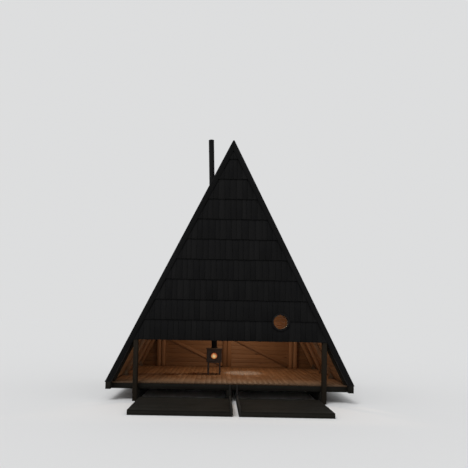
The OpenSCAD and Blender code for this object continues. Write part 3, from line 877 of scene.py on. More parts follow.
class FloorFrame(bpy.types.Operator):
    """Skids, rims, sills and joists that carry the floor, as sawn timbers"""

    bl_idname = "cabin.floor_frame"
    bl_label = "Timber under the floor"

    def execute(self, context):
        room = context.scene.cabin_room
        rng = np.random.default_rng(11)
        for nodes, axis, edge, stations, wave in (
                (("skid_left", "skid_middle", "skid_right"), Y, 0.008, 10, 0.0012),
                (("left_sill", "right_sill"), Y, 0.005, 12, 0.0008),
                (("front_rim", "back_rim"), X, 0.005, 14, 0.0008)):
            for node in nodes:
                timber = bars(rng, node_ends(node, axis), edge, stations, wave)
                shown(f"{node}_timber", "grey", timber, nodes=[node])
        first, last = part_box("floor_joists")
        ends = [box_ends((first[X], y, first[Z]), (last[X], y + room.joist_w, last[Z]), X)
                for y in np.linspace(first[Y], last[Y] - room.joist_w, room.joists)]
        shown("joist_timbers", "grey", bars(rng, ends, edge=0.004), nodes=["floor_joists"])
        return {"FINISHED"}


class FloorBoards(bpy.types.Operator):
    """Floor boards that run from the front to the back, jointed over the joists"""

    bl_idname = "cabin.floor_boards"
    bl_label = "Floor"

    # The floor boards' worn edge, which is also the most that a board lies low
    edge = 0.0008

    def execute(self, context):
        room = context.scene.cabin_room
        rng = np.random.default_rng(12)
        first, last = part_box("floor_boards")
        a, b = between(even_joints(first[X], last[X], room.floor_w), room.floor_gap)
        s = crossing(a, b, self.edge)
        joists = np.linspace(low("floor_joists", Y), high("floor_joists", Y), room.joists)
        joint = rng.choice(joists[1:-1], len(a))[:, None]
        s = np.concatenate([s, s])
        t0 = np.concatenate([joint * 0 + first[Y], joint + room.floor_gap / 2])
        t1 = np.concatenate([joint - room.floor_gap / 2, joint * 0 + last[Y]])
        cup = rng.uniform(-self.edge, 0, (len(s), 1, 1))
        boards = planks(rng, s, t0, t1, last[Z] - first[Z] + cup,
                        lambda s, t, w: (s, t, first[Z] + w), self.edge)
        shown("floor_planks", "floor", boards, nodes=["floor_boards"])
        return {"FINISHED"}


class Deck(bpy.types.Operator):
    """The low deck in front: planks on bearers, a board along its front, and two runners"""

    bl_idname = "cabin.deck"
    bl_label = "Deck"

    # How far a plank's ends stray, and the screws: the way between two, and how deep they sit
    stray = 0.006
    screw_apart, screw_seat = 0.070, 0.0035
    screw_r, screw_h = 0.0045, 0.003

    def execute(self, context):
        deck = context.scene.cabin_deck
        rng = np.random.default_rng(13)
        for node in ("deck_left", "deck_right"):
            self.half(node, deck, rng)
        first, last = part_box("deck_runners")
        ends = []
        for x in (first[X], last[X] - deck.runner_w):
            ends.append(box_ends((x, first[Y], 0), (x + deck.runner_w, last[Y], deck.runner_h), Y))
            ends.append(box_ends((x, last[Y] - deck.runner_w, deck.runner_h),
                                 (x + deck.runner_w, last[Y], last[Z]), Z))
        runners = bars(rng, ends, edge=0.004, stations=8)
        shown("runner_timbers", "bleached", runners, nodes=["deck_runners"])
        return {"FINISHED"}

    def half(self, node, deck, rng):
        """Half of the deck: its planks and timbers, and two screws wherever a plank meets a bearer."""
        first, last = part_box(node)
        a, b = between(even_joints(first[Y], last[Y], deck.plank_w), deck.plank_gap)
        a[0], b[-1] = first[Y], last[Y]
        stray = rng.uniform(0, self.stray, (2, len(a), 1))
        under = last[Z] - deck.plank_t
        top = planks(rng, crossing(a, b, deck.edge), first[X] + stray[0], last[X] - stray[1],
                     deck.plank_t, lambda s, t, w: (t, s, under + w), deck.edge)
        step = (last[X] - first[X] - deck.bearer_w) / (deck.bearers - 1)
        places = first[X] + step * np.arange(deck.bearers)
        ends = [box_ends((x, first[Y] + deck.plank_t, first[Z]), (x + deck.bearer_w, last[Y], under), Y)
                for x in places]
        ends.append(box_ends(first, (last[X], first[Y] + deck.plank_t, under), X))
        shown(f"{node}_planks", "grey", top, bars(rng, ends, edge=0.003), nodes=[node])
        spots = np.stack(np.meshgrid((a + b) / 2, places + deck.bearer_w / 2), -1).reshape(-1, 2)
        half_apart = (self.screw_apart / 2, 0.0)
        spots = np.concatenate([spots - half_apart, spots + half_apart])
        points = np.stack([spots[:, 1], spots[:, 0], 0 * spots[:, 0] + last[Z] - self.screw_seat], -1)
        shown(f"{node}_screws", "zinc", fixings(points, UP, self.screw_r, self.screw_h))


class Posts(bpy.types.Operator):
    """The two front posts, scribed to the slopes, and the beam over the open band"""

    bl_idname = "cabin.posts"
    bl_label = "Posts and beam"

    def execute(self, context):
        edge = context.scene.cabin_room.timber_edge
        rng = np.random.default_rng(14)
        for node in ("front_post_left", "front_post_right"):
            first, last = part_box(node)
            s = crossing([first[X]], [last[X]], edge, across=9)
            top = np.minimum(BAND_Z, slope_height(ROOF_T, s))
            post = planks(rng, s, first[Z], top, last[Y] - first[Y], on_wall(last[Y], -1), edge)
            shown(f"{node}_timber", "post", post, nodes=[node])
        first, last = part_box("front_beam")
        corners = ((first[Y], first[Z]), (last[Y], first[Z]), (last[Y], last[Z]), (first[Y], last[Z]))
        ends = [[(side * half_width(ROOF_T, z), y, z) for y, z in corners] for side in (-1, 1)]
        beam = bars(rng, ends, edge, stations=14)
        shown("front_beam_timber", "post", beam, nodes=["front_beam"])
        return {"FINISHED"}


class Frames(bpy.types.Operator):
    """Four pairs of rafters, the front one in the posts' dark finish as painted shade, the ridge beam and
    the bolts of the shoes
    """

    bl_idname = "cabin.frames"
    bl_label = "Frames"

    # The shoes' sheet, and their bolts: as a share of the rafter's depth, and over the floor
    shoe_skin = 0.0063
    bolt_places = ((0.35, 0.045), (0.6, 0.045), (0.3, 0.105))
    bolt_r, bolt_h = 0.010, 0.008

    def execute(self, context):
        edge = context.scene.cabin_room.timber_edge
        rng = np.random.default_rng(15)
        top_x = high("ridge_beam", X)
        heads = []
        for node in ("frame_front", "frame_second", "frame_third", "frame_back"):
            first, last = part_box(node)
            depth = (half_width(ROOF_T, first[Z]) - self.inner_foot(node)) * SIN
            ends = [rafter_ends(first[Y], last[Y], depth, first[Z], top_x, side) for side in (-1, 1)]
            # Painted shade: the front pair of rafters takes the posts' dark finish, as if its front face
            # were unlit. The other pairs show the pine.
            front_in_painted_shade = node == "frame_front"
            rafters = bars(rng, ends, edge, stations=16, wave=0.0009)
            shown(f"{node}_rafters", "post" if front_in_painted_shade else "pine", rafters, nodes=[node])
            for side in () if front_in_painted_shade else (-1, 1):
                for share, z in self.bolt_places:
                    x = half_width(ROOF_T + depth * share, FLOOR_Z + z)
                    heads += [(side * x, y, FLOOR_Z + z, out) for y, out in (
                        (first[Y] - self.shoe_skin, -1), (last[Y] + self.shoe_skin, 1))]
        heads = np.array(heads)
        sides = [fixings(heads[heads[:, 3] == out, :3], (0, out, 0), self.bolt_r, self.bolt_h)
                 for out in (-1, 1)]
        shown("shoe_bolts", "zinc", *sides)
        kept("zinc", "rafter_shoes")
        beam = bars(rng, node_ends("ridge_beam", Y), edge, stations=12)
        shown("ridge_timber", "pine", beam, nodes=["ridge_beam"])
        return {"FINISHED"}

    @staticmethod
    def inner_foot(node):
        """Half the clear width between the feet of a pair of rafters."""
        co = corners_of(node)
        feet = co[co[:, Z] < co[:, Z].min() + 0.001]
        return np.abs(feet[:, X]).min()


class Linings(bpy.types.Operator):
    """Thin boards on the inner faces of the slopes and gables"""

    bl_idname = "cabin.linings"
    bl_label = "Linings"

    # The boards, and what they leave free at the foot and the top of a slope
    thick = 0.008
    foot_gap, top_gap = 0.012, 0.010

    def execute(self, context):
        room = context.scene.cabin_room
        rng = np.random.default_rng(16)
        top = half_width(ROOF_T, FLOOR_Z) / COS - self.top_gap
        rows = even_joints(self.foot_gap, top, room.lining_w)
        for side, word in ((-1, "left"), (1, "right")):
            self.lined(f"{word}_slope_lining", rng, rows,
                       lambda s: (s * 0 + high("frame_front", Y), s * 0 + BACK_IN_Y),
                       level(on_slope(side, ROOF_T, -1)), self.flue_hole() if side < 0 else None)
        kept("felt", "left_roof_deck", "right_roof_deck")
        peak = slope_height(ROOF_T, 0.0)
        self.lined("back_wall_lining", rng, even_joints(FLOOR_Z, peak, room.lining_w)[:-1],
                   self.to_slopes, level(on_wall(BACK_IN_Y, -1)))
        rows = even_joints(low("front_gable_wall", Z), peak, room.lining_w)[:-1]
        radius = half_size("porthole_glass", X)
        self.lined("front_gable_lining", rng, rows, self.to_slopes,
                   level(on_wall(high("front_gable_wall", Y), 1)), (PORT[1], PORT[0], radius, radius), 8)
        kept("felt", "front_gable_wall", "back_gable_wall")
        return {"FINISHED"}

    def lined(self, name, rng, joints, ends_of, place, hole=None, across=4):
        """One lined face, its boards between the joints and from end to end of ends_of(s).

        hole holds the place of an oval hole across and along the boards, and its half axes.
        """
        room = bpy.context.scene.cabin_room
        a, b = between(joints, room.lining_gap)
        s = crossing(a, b, room.groove / 2, across)
        t0, t1 = ends_of(s)
        if hole:
            centre_s, centre_t, half_s, half_t = hole
            inside = (b > centre_s - half_s) & (a < centre_s + half_s)
            s, t0, t1 = split(s, t0, t1, inside, centre_t, arc(centre_s, half_s, half_t))
        shown(name, "lining", planks(rng, s, t0, t1, self.thick, place, room.groove / 2))

    @staticmethod
    def to_slopes(s):
        """Both ends, at height s, of boards that reach from slope to slope."""
        return -half_width(ROOF_T, s), half_width(ROOF_T, s)

    @staticmethod
    def flue_hole():
        """Where the flue meets the left lining: up the slope and along it, and its half axes."""
        radius, foot, lean = flue_line()
        slant = math.tan(lean)
        rise = (half_width(ROOF_T, FLOOR_Z) + foot[X] + slant * (foot[Z] - FLOOR_Z)) / (1 / TAN + slant)
        return rise / SIN, STOVE_Y, radius / math.cos(PITCH - lean), radius


def flue_line():
    """The flue's outer radius, the middle of its foot and its lean, read from its mouth and box."""
    first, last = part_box("flue_pipe")
    co = corners_of("flue_pipe")
    radius = np.ptp(co[co[:, Z] > last[Z] - 0.1][:, Y]) / 2
    foot = np.array([STOVE_X, STOVE_Y, first[Z]])
    lean = 0.0
    for _ in range(6):
        lean = math.atan2(STOVE_X - first[X] - radius * math.cos(lean),
                          last[Z] - radius * math.sin(lean) - first[Z])
    return radius, foot, lean


class BackFrame(bpy.types.Operator):
    """Studs in pairs, the rail between them and the two braces of the back wall"""

    bl_idname = "cabin.back_frame"
    bl_label = "Back frame"

    def execute(self, context):
        room = context.scene.cabin_room
        rng = np.random.default_rng(17)
        for node in ("back_stud_left", "back_stud_middle", "back_stud_right"):
            studs = bars(rng, self.stud_ends(node), room.timber_edge, stations=10)
            shown(f"{node}_timbers", "pine", studs, nodes=[node])
        first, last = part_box("back_rail")
        near = low("back_brace_right", X)
        ends = [box_ends((x0, first[Y], first[Z]), (x1, last[Y], last[Z]), X)
                for x0, x1 in ((-last[X], -near), (near, last[X]))]
        shown("back_rail_timbers", "pine", bars(rng, ends, room.timber_edge), nodes=["back_rail"])
        for node in ("back_brace_left", "back_brace_right"):
            shown(f"{node}_timber", "pine", self.brace(rng, node, room), nodes=[node])
        return {"FINISHED"}

    @staticmethod
    def stud_ends(node):
        """The end corners of a pair of studs, with their heads cut to the slope."""
        first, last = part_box(node)
        co = corners_of(node)
        middle = (first[X] + last[X]) / 2
        inner = co[co[:, X] > middle + 1e-4][:, X].min()
        ends = []
        for x0, x1 in ((first[X], 2 * middle - inner), (inner, last[X])):
            end = box_ends((x0, first[Y], first[Z]), (x1, last[Y], last[Z]), Z)
            end[1, :, Z] = np.minimum(last[Z], slope_height(ROOF_T, end[1, :, X]))
            ends.append(end)
        return ends

    @staticmethod
    def brace(rng, node, room):
        """A brace with upright ends: its upper side starts in the bay's upper left corner, and its
        lower side ends in the lower right one.

        With the angle a below the level, a point t along and s across it is
        (t cos a + s sin a, -t sin a + s cos a) from the middle of its left end.
        """
        first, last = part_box(node)
        width = room.brace_w
        run, rise = last[X] - first[X], last[Z] - first[Z]
        tilt = math.acos(width / math.hypot(run, rise)) - math.atan2(run, rise)
        sin, cos = math.sin(tilt), math.cos(tilt)
        start_z = last[Z] - width / cos / 2
        s = crossing([-width / 2], [width / 2], room.timber_edge, across=9)
        return planks(
            rng, s, -s * sin / cos, (run - s * sin) / cos, last[Y] - first[Y],
            lambda s, t, w: (first[X] + t * cos + s * sin, last[Y] - w, start_z - t * sin + s * cos),
            room.timber_edge)


class Gables(bpy.types.Operator):
    """The lapped courses of the front and back gables, as separate boards"""

    bl_idname = "cabin.gables"
    bl_label = "Gable cladding"

    # How far the porthole's flange covers the boards round it
    flange_over = 0.014

    def execute(self, context):
        c = context.scene.cabin_cladding
        rng = np.random.default_rng(21)
        radius = half_size("porthole_frame", X) - self.flange_over
        for word, base, place, hole in (
                ("front", BAND_Z, on_wall(CLAD_Y, -1), radius),
                ("back", RIM_Z, on_wall(BACK_CLAD_Y, 1), None)):
            shown(f"{word}_gable_boards", "tar", *gable_courses(rng, c, base, place, hole),
                  nodes=[f"{word}_gable_courses"])
        return {"FINISHED"}


def course_levels(base, top, course_h):
    """Heights of the lower edges of the courses, level with those of the front gable."""
    steps = BAND_Z + np.arange(-6, 20) * course_h
    return np.concatenate([[base], steps[(steps > base + course_h / 3) & (steps < top)]])


def course(rng, c, joints, z0, z1, top_of, place, hole, share):
    """One course: boards of mixed widths whose faces taper towards their upper ends.

    top_of(s) is the height at which the wall ends. share is the course's height as a part
    of a whole course's. hole holds the hole's middle across and along, and its reach both ways.
    """
    a, b = between(joints, c.gap)
    s = crossing(a, b, c.edge, 6 if hole else 2)
    t0 = z0 + c.ragged * rng.random((len(a), 1)) ** 2
    t1 = np.minimum(z1 + (c.ragged + TUCKED), top_of(s))
    if hole:
        middle, centre, reach_s, reach = hole
        s, t0, t1 = split(s, t0, t1, np.abs((a + b) / 2 - middle) < reach_s, centre, reach)
    thin = c.thin * rng.random((len(s), 1, 1))
    return planks(rng, s, t0, t1, lambda t: COURSE_T - thin - c.lap * share * (t - z0) / (z1 - z0),
                  place, c.edge)


def gable_courses(rng, c, base, place, hole_radius):
    """All courses of a gable. A round hole may be left where the porthole is."""
    peak = float(slope_height(ROOF_T, 0.0))
    levels = np.append(course_levels(base, peak - 0.05, c.course_h), peak)
    batches = []
    for z0, z1 in zip(levels[:-1], levels[1:]):
        foot, head = (half_width(ROOF_T, max(z, FLOOR_Z)) for z in (z0, z1))
        marks = [-foot, -head, head, foot]
        hole = None
        if hole_radius and z0 < PORT[1] + hole_radius and z1 > PORT[1] - hole_radius:
            marks += [PORT[0] - hole_radius, PORT[0] + hole_radius]
            hole = (*PORT, hole_radius, arc(PORT[0], hole_radius, hole_radius))
        marks = sorted(marks)
        marks = [m for m, following in zip(marks, marks[1:] + [math.inf]) if following - m > LEAST]
        joints = mixed_joints(rng, marks, c.board_w, c.board_vary)
        share = min((z1 - z0) / c.course_h, 1.0) if z0 > base else 1.0
        batches.append(course(
            rng, c, joints, z0, z1, lambda s: slope_height(ROOF_T, s), place, hole, share))
    return batches


class RoofBoards(bpy.types.Operator):
    """The lapped courses of both slopes, with a square hole round the flue's upstand"""

    bl_idname = "cabin.roof_boards"
    bl_label = "Roof cladding"

    def execute(self, context):
        c = context.scene.cabin_cladding
        rng = np.random.default_rng(22)
        top = half_width(COURSE_T, FLOOR_Z) / COS
        levels = (course_levels(FLOOR_Z, PEAK_Z, c.course_h) - FLOOR_Z) / SIN
        levels = np.append(levels, top)
        reach = half_size("flue_flashing", Y)
        centre = (low("flue_flashing", Z) + reach * SIN - FLOOR_Z) / SIN
        for side, word in ((-1, "left"), (1, "right")):
            batches = []
            for k, (t0, t1) in enumerate(zip(levels[:-1], levels[1:])):
                marks, hole = [ROOF_Y0, ROOF_Y1], None
                if side < 0 and t0 < centre + reach and t1 > centre - reach:
                    marks = [ROOF_Y0, STOVE_Y - reach, STOVE_Y + reach, ROOF_Y1]
                    hole = (STOVE_Y, centre, reach, lambda s: reach + 0 * s)
                joints = mixed_joints(rng, marks, c.board_w, c.board_vary)
                share = min((t1 - t0) * SIN / c.course_h, 1.0) if k else 1.0
                batches.append(course(rng, c, joints, t0, t1, lambda s: top + 0 * s,
                                      on_slope(side, COURSE_T, 1), hole, share))
            shown(f"{word}_roof_boards", "tar", *batches, nodes=[f"{word}_roof_courses"])
        return {"FINISHED"}


class RoofEdges(bpy.types.Operator):
    """Bargeboards that meet in a mitre, and the boards of the ridge cap"""

    bl_idname = "cabin.roof_edges"
    bl_label = "Bargeboards and ridge"

    # How far up the slope a bargeboard is jointed, and the gap there
    joint_up, joint_gap = 3.72, 0.002

    def execute(self, context):
        c = context.scene.cabin_cladding
        rng = np.random.default_rng(23)
        for node, sign in (("front_bargeboards", -1), ("back_bargeboards", 1)):
            first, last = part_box(node)
            wall = first[Y] if sign > 0 else last[Y]
            s = np.sort(np.append(crossing([0.0], [ROOF_T], c.edge, 3), (PEAK_Z - TOP_Z) * COS))[None]
            top = np.minimum((HALF_W - s * SIN) / COS, (TOP_Z - FLOOR_Z + s * COS) / SIN)
            lengths = ((s * COS / SIN, s * 0 + self.joint_up - self.joint_gap / 2),
                       (s * 0 + self.joint_up + self.joint_gap / 2, top))
            boards = [planks(rng, s, t0, t1, last[Y] - first[Y], self.on_edge(side, wall, sign), c.edge)
                      for side in (-1, 1) for t0, t1 in lengths]
            shown(f"{node}_boards", "tar", *boards, nodes=[node])
        first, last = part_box("ridge_cap")
        a, b = between(np.linspace(first[Y], last[Y], 3), self.joint_gap)
        section = np.array([
            (half_width(0, first[Z]), first[Z]), (half_width(0, TOP_Z), TOP_Z), (0.0, TOP_Z),
            (0.0, PEAK_Z - c.cap_t / COS), (half_width(c.cap_t, first[Z]), first[Z])])
        ends = [np.stack([np.stack([side * section[:, 0], 0 * section[:, 0] + y, section[:, 1]], -1)
                          for y in ys]) for side in (-1, 1) for ys in zip(a, b)]
        cap = bars(rng, ends, edge=0.002, stations=8, wave=0.0003)
        shown("ridge_cap_boards", "tar", cap, nodes=["ridge_cap"])
        return {"FINISHED"}

    @staticmethod
    def on_edge(side, wall, sign):
        """Sets (s, t, w) on a slope's end: s inwards from the roof's outside, t up the slope."""
        return lambda s, t, w: (
            side * (HALF_W - t * COS - s * SIN), wall + sign * w, FLOOR_Z + t * SIN - s * COS)


class Porthole(bpy.types.Operator):
    """The porthole: an iron tube with a rounded flange, its bolts and its pane"""

    bl_idname = "cabin.porthole"
    bl_label = "Porthole"

    # The flange before the tube, its bolts, and the ground edge of the pane
    flange_w, flange_t = 0.026, 0.012
    bolts, bolt_r, bolt_h = 8, 0.007, 0.005
    bevel = 0.001

    def execute(self, context):
        first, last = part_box("porthole_frame")
        bore, rim = half_size("porthole_glass", X) + 0.0003, half_size("porthole_frame", X)
        tube, depth = rim - self.flange_w, last[Y] - first[Y]
        step = depth - self.flange_t
        line = eased([(bore, 0.0), (tube, 0.0), (tube, step), (rim, step), (rim, depth),
                      (bore, depth), (bore, 0.0)], 0.005)
        ring = turned(line[:-1], (PORT[0], last[Y], PORT[1]), TO_FRONT, around=72, ring=True)
        shown("porthole_ring", "flue", ring, nodes=["porthole_frame"], slot="black_iron", smooth=35)
        angle = (np.arange(self.bolts) * 2 + 1) * math.pi / self.bolts
        reach = (tube + rim) / 2 + 0.002
        points = np.stack([PORT[0] + reach * np.cos(angle), 0 * angle + first[Y] + 0.0005,
                           PORT[1] + reach * np.sin(angle)], -1)
        bolts = fixings(points, TO_FRONT, self.bolt_r, self.bolt_h)
        shown("porthole_bolts", "flue", bolts, slot="black_iron")
        thick = high("porthole_glass", Y) - low("porthole_glass", Y)
        radius, bevel = bore - 0.0006, self.bevel
        pane = turned([(0.002, 0.0), (radius - bevel, 0.0), (radius, bevel), (radius, thick - bevel),
                       (radius - bevel, thick), (0.002, thick)],
                      (PORT[0], high("porthole_glass", Y), PORT[1]), TO_FRONT, around=72)
        shown("porthole_pane", "pane", pane, nodes=["porthole_glass"], smooth=35)
        return {"FINISHED"}


class Stove(bpy.types.Operator):
    """The iron stove: its body, top, door, window with the fire, knob and legs"""

    bl_idname = "cabin.stove"
    bl_label = "Stove"

    # The door's ring, and its hinges: their radius, and their heights from the window's middle
    ring_depth = 0.024
    barrel_r = 0.009
    hinge_places = (-0.062, 0.062)

    def execute(self, context):
        stove = context.scene.cabin_stove
        shown("stove_shell", "iron", *self.body(stove), nodes=["stove_body"], smooth=35)
        shown("stove_door_ring", "iron", *self.door(stove), nodes=["stove_door"], smooth=35)
        dome = [(WINDOW_R * math.cos(a), 0.006 + 0.006 * math.sin(a))
                for a in np.linspace(0, math.pi / 2 - 0.02, 8)]
        window = turned([(0.002, 0.001), (WINDOW_R - 0.001, 0.001)] + dome, WINDOW, TO_FRONT)
        shown("stove_window", "fire", window, nodes=["stove_glass"], smooth=35)
        return {"FINISHED"}

    @staticmethod
    def body(stove):
        """The body, its top plate, the hob on it, the plate and lip in front, and four legs.

        The rows of a block are (height, outset), from below upwards.
        """
        top_z = high("stove_body", Z)
        body_top = top_z - stove.top_t
        leg_top = 2 * WINDOW[Z] - body_top
        half_x = half_size("stove_body", X) - stove.top_over
        half_y = high("stove_body", Y) - STOVE_Y - stove.top_over
        corner, out, over = stove.corner, stove.top_over, stove.foot_over
        shell_rows = [
            (leg_top, out / 2 - 0.004), (leg_top + 0.004, out / 2), (leg_top + 0.018, out / 2),
            (leg_top + 0.026, 0.002), (leg_top + 0.030, 0.0), (body_top - 0.012, 0.0),
            (body_top - 0.004, 0.005), (body_top, 0.007)]
        top_rows = [
            (body_top, out - 0.008), (body_top + 0.003, out - 0.001), (body_top + 0.006, out),
            (top_z - 0.008, out), (top_z - 0.004, out - 0.002), (top_z - 0.002, out - 0.007)]
        hob_line = [(0.002, top_z - 0.004), (0.136, top_z - 0.004), (0.136, top_z - 0.0005),
                    (0.134, top_z), (0.002, top_z)]
        leg_rows = [
            (FLOOR_Z, over - 0.002), (FLOOR_Z + 0.003, over), (FLOOR_Z + 0.010, over),
            (FLOOR_Z + 0.016, 0.0), (FLOOR_Z + 0.040, -0.0005), (leg_top - 0.070, -0.0005),
            (leg_top - 0.030, 0.0), (leg_top + 0.003, 0.002)]
        lip_rows = [(leg_top - 0.015, -0.006), (leg_top - 0.010, 0.0), (leg_top + 0.010, 0.0),
                    (leg_top + 0.015, -0.005)]
        plate_rows = [(-0.004, -0.001), (0.003, 0.0), (0.0055, -0.0025)]
        plate_half = (half_x - 0.036, (body_top - leg_top) / 2 - 0.040)
        half_leg, lip_y = stove.leg_w / 2, (half_y + stove.ash_over) / 2
        leg_x, leg_y = half_x - stove.leg_set - half_leg, half_y - stove.leg_set - half_leg
        middle = upright(STOVE_X, STOVE_Y)
        return (
            moulded(shell_rows, (half_x, half_y), corner, middle),
            moulded(top_rows, (half_x, half_y), corner, middle),
            turned(hob_line, (STOVE_X, STOVE_Y, 0.0), UP),
            moulded(plate_rows, plate_half, 0.020,
                    lambda p, q, h: (WINDOW[X] + p, WINDOW[Y] - h, WINDOW[Z] + q)),
            moulded(lip_rows, (half_x - stove.leg_set, lip_y), corner, upright(STOVE_X, STOVE_Y - lip_y)),
            *(moulded(leg_rows, (half_leg, half_leg), 0.008, upright(STOVE_X + x, STOVE_Y + y), 3)
              for x in (-leg_x, leg_x) for y in (-leg_y, leg_y)),
        )

    def door(self, stove):
        """The cast ring round the window, the knob, and two hinges with their straps."""
        bore, deep, barrel = WINDOW_R + 0.0008, self.ring_depth, self.barrel_r
        rim = bore + stove.rim
        ring_line = [(bore, -0.002), (rim, -0.002), (rim, deep * 0.6), (rim - 0.008, deep),
                     (bore + 0.004, deep), (bore, deep * 0.7), (bore, -0.002)]
        knob_line = [(0.002, 0.0), (0.010, 0.0), (0.006, 0.010), (0.006, 0.026), (0.014, 0.031),
                     (0.0135, 0.046), (0.002, 0.048)]
        knob_at = (high("stove_door", X) - 0.014, WINDOW[Y], low("stove_door", Z) + 0.014)
        pin_line = [(0.001, -0.024), (barrel, -0.024), (barrel, 0.024), (0.001, 0.024)]
        hinge_x, hinge_y = STOVE_X - rim - barrel, WINDOW[Y] - barrel
        heights = [WINDOW[Z] + z for z in self.hinge_places]
        straps = [box_ends((hinge_x, hinge_y - 0.003, z - barrel),
                           (STOVE_X - bore, hinge_y + 0.003, z + barrel), X) for z in heights]
        return (
            turned(eased(ring_line, 0.004)[:-1], WINDOW, TO_FRONT, around=64, ring=True),
            turned(eased(knob_line, 0.003), knob_at, TO_FRONT, around=24),
            bars(np.random.default_rng(31), straps, edge=0.0012, stations=2, wave=0.0),
            *(turned(eased(pin_line, 0.002), (hinge_x, hinge_y, z), UP, around=16) for z in heights),
        )


class Flue(bpy.types.Operator):
    """The flue: lengths of pipe with a band at each joint, and an open mouth"""

    bl_idname = "cabin.flue"
    bl_label = "Flue"

    # A length of pipe, the shortest last one, and how far the bands and the bore lie from the skin
    pipe_length, shortest = 1.0, 0.3
    band_t, wall_t = 0.0022, 0.006

    def execute(self, context):
        band = context.scene.cabin_stove.band
        radius, foot, lean = flue_line()
        span = (high("flue_pipe", Z) - foot[Z] - radius * math.sin(lean)) / math.cos(lean)
        skin, inside = radius - self.band_t, radius - self.wall_t
        line = [(skin, 0.004)]
        for joint in np.arange(self.pipe_length, span - self.shortest, self.pipe_length):
            line += [(skin, joint - band / 2), (radius, joint - band / 2 + 0.002),
                     (radius, joint + band / 2 - 0.002), (skin, joint + band / 2)]
        line += [(skin, span - 0.020), (radius, span - 0.016), (radius, span - 0.001),
                 (radius - 0.003, span), (inside, span - 0.002), (inside, 0.004)]
        collar = eased([(radius - 0.001, 0.0), (radius + 0.022, 0.0), (radius + 0.020, 0.010),
                        (radius + 0.004, 0.016), (radius + 0.003, 0.040), (radius - 0.001, 0.042),
                        (radius - 0.001, 0.0)], 0.003)[:-1]
        axis = (-math.sin(lean), 0.0, math.cos(lean))
        lengths = [turned(profile, foot, axis, around=56, ring=True) for profile in (line, collar)]
        shown("flue_lengths", "flue", *lengths, nodes=["flue_pipe"], smooth=35)
        kept("flue", "flue_flashing")
        return {"FINISHED"}


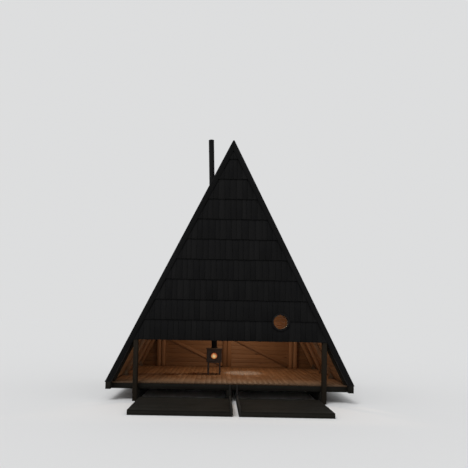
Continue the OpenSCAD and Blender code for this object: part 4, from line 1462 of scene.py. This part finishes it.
class Stage(bpy.types.Operator):
    """A plain pale floor, soft lamps, and the camera where the photo was taken from"""

    bl_idname = "cabin.stage"
    bl_label = "Stage"

    # Half the floor's size, and where the two lamps in the room hang
    reach = 150.0
    room_lamp_at = (0.36, 1.05, FLOOR_Z + 2.5)
    downlight_at = (0.46, 1.22, FLOOR_Z + 2.3)

    def execute(self, context):
        stage, scene = context.scene.cabin_stage, context.scene
        scene.view_settings.view_transform = "Standard"
        self.paper(stage)
        self.sky(scene, stage)
        self.lamps(stage)
        self.camera(scene, stage)
        return {"FINISHED"}

    def paper(self, stage):
        """The floor of the stage, in the stage's colour."""
        r = self.reach
        mesh = bpy.data.meshes.new("stage_floor")
        mesh.from_pydata([(-r, -r, 0), (r, -r, 0), (r, r, 0), (-r, r, 0)], [], [(0, 1, 2, 3)])
        f = Finish("stage_paper", Base_Color=(*stage.paper, 1.0), Roughness=1.0, Specular_IOR_Level=0.0)
        mesh.materials.append(f.material)
        linked("stage_floor", mesh)

    @staticmethod
    def sky(scene, stage):
        """An even world. The camera, metal and glass see it as bright as the lit floor.

        The floor's level is its colour times the sun's share, strength * sin(height) / pi, and
        the sky's strength, so no horizon shows.
        """
        floor_level = stage.sun * math.sin(stage.sun_height) / math.pi + stage.sky
        scene.world = bpy.data.worlds.new("cabin_sky")
        scene.world.use_nodes = True
        sky = Nodes(scene.world.node_tree)
        sky.tree.nodes.remove(sky.tree.nodes["Background"])
        light = sky.node(
            "ShaderNodeBackground", None, {"Color": (1.0, 1.0, 1.0, 1.0), "Strength": stage.sky})
        seen = sky.node(
            "ShaderNodeBackground", None, {"Color": (*times(stage.paper, floor_level), 1.0)})
        looks, *others = (sky.node("ShaderNodeLightPath", output=f"Is {kind} Ray")
                          for kind in ("Camera", "Glossy", "Transmission"))
        for ray in others:
            looks = sky.node("ShaderNodeMath", {"operation": "MAXIMUM"}, {0: looks, 1: ray})
        mixed = sky.node("ShaderNodeMixShader", None, {"Fac": looks, 1: light, 2: seen})
        sky.tree.links.new(mixed.socket, sky.tree.nodes["World Output"].inputs["Surface"])

    def lamps(self, stage):
        """A wide soft sun over the left front, a small warm lamp in the room to the right of the
        stove, and a white one that throws a soft pool of light on the floor beside it.
        """
        sun = self.lamp("sun", "SUN", stage.sun, (1.0, 1.0, 1.0), angle=math.radians(30.0))
        flat = math.cos(stage.sun_height)
        way = Vector((math.sin(stage.sun_turn) * flat, math.cos(stage.sun_turn) * flat,
                      -math.sin(stage.sun_height)))
        sun.rotation_euler = way.to_track_quat("-Z", "Y").to_euler()
        room = self.lamp("room_lamp", "POINT", stage.room_lamp, stage.warm, shadow_soft_size=0.11)
        room.location = self.room_lamp_at
        down = self.lamp("downlight", "SPOT", stage.downlight, stage.cool, shadow_soft_size=0.05,
                         spot_size=math.radians(34.0), spot_blend=0.9)
        down.location = self.downlight_at

    @staticmethod
    def lamp(name, kind, energy, tint, **own):
        """A lamp in the scene. own holds the settings that only its kind has."""
        data = bpy.data.lights.new(name, kind)
        data.energy, data.color = energy, tint
        for key, value in own.items():
            setattr(data, key, value)
        return linked(name, data)

    @staticmethod
    def camera(scene, stage):
        """The camera looks along +Y and a little up, with a slight roll and its lens shifted."""
        data = bpy.data.cameras.new("cabin_camera")
        data.lens, data.sensor_width = stage.lens, 36.0
        data.shift_x, data.shift_y = stage.shift_x, stage.shift_y
        data.clip_end = 400.0
        scene.camera = linked("cabin_camera", data)
        scene.camera.matrix_world = (
            Matrix.Translation((stage.camera_x, stage.camera_y, stage.camera_z))
            @ Matrix.Rotation(math.pi / 2 + stage.tilt, 4, "X") @ Matrix.Rotation(stage.roll, 4, "Z"))


OPERATORS = (
    FloorFrame, FloorBoards, Deck, Posts, Frames, Linings, BackFrame, Gables, RoofBoards,
    RoofEdges, Porthole, Stove, Flue, Stage,
)


class CabinPanel(bpy.types.Panel):
    """The steps that dress the cabin, in their order"""

    bl_idname = "VIEW3D_PT_cabin"
    bl_label = "Cabin"
    bl_space_type = "VIEW_3D"
    bl_region_type = "UI"
    bl_category = "Cabin"

    def draw(self, context):
        for step in OPERATORS:
            self.layout.operator(step.bl_idname)
        for key, group in SETTINGS.items():
            box = self.layout.box()
            for name in group.__annotations__:
                box.prop(getattr(context.scene, key), name)


def register():
    """Registers the settings, the steps and the panel."""
    for key, group in SETTINGS.items():
        bpy.utils.register_class(group)
        setattr(bpy.types.Scene, key, PointerProperty(type=group))
    for kind in (*OPERATORS, CabinPanel):
        bpy.utils.register_class(kind)


def unregister():
    """Takes back what register did."""
    for kind in (CabinPanel, *reversed(OPERATORS)):
        bpy.utils.unregister_class(kind)
    for key, group in SETTINGS.items():
        delattr(bpy.types.Scene, key)
        bpy.utils.unregister_class(group)


def main():
    """Runs every step in its order."""
    register()
    for step in OPERATORS:
        family, name = step.bl_idname.split(".")
        if getattr(getattr(bpy.ops, family), name)() != {"FINISHED"}:
            raise RuntimeError(f"{step.bl_idname} did not finish")


if __name__ == "__main__":
    main()
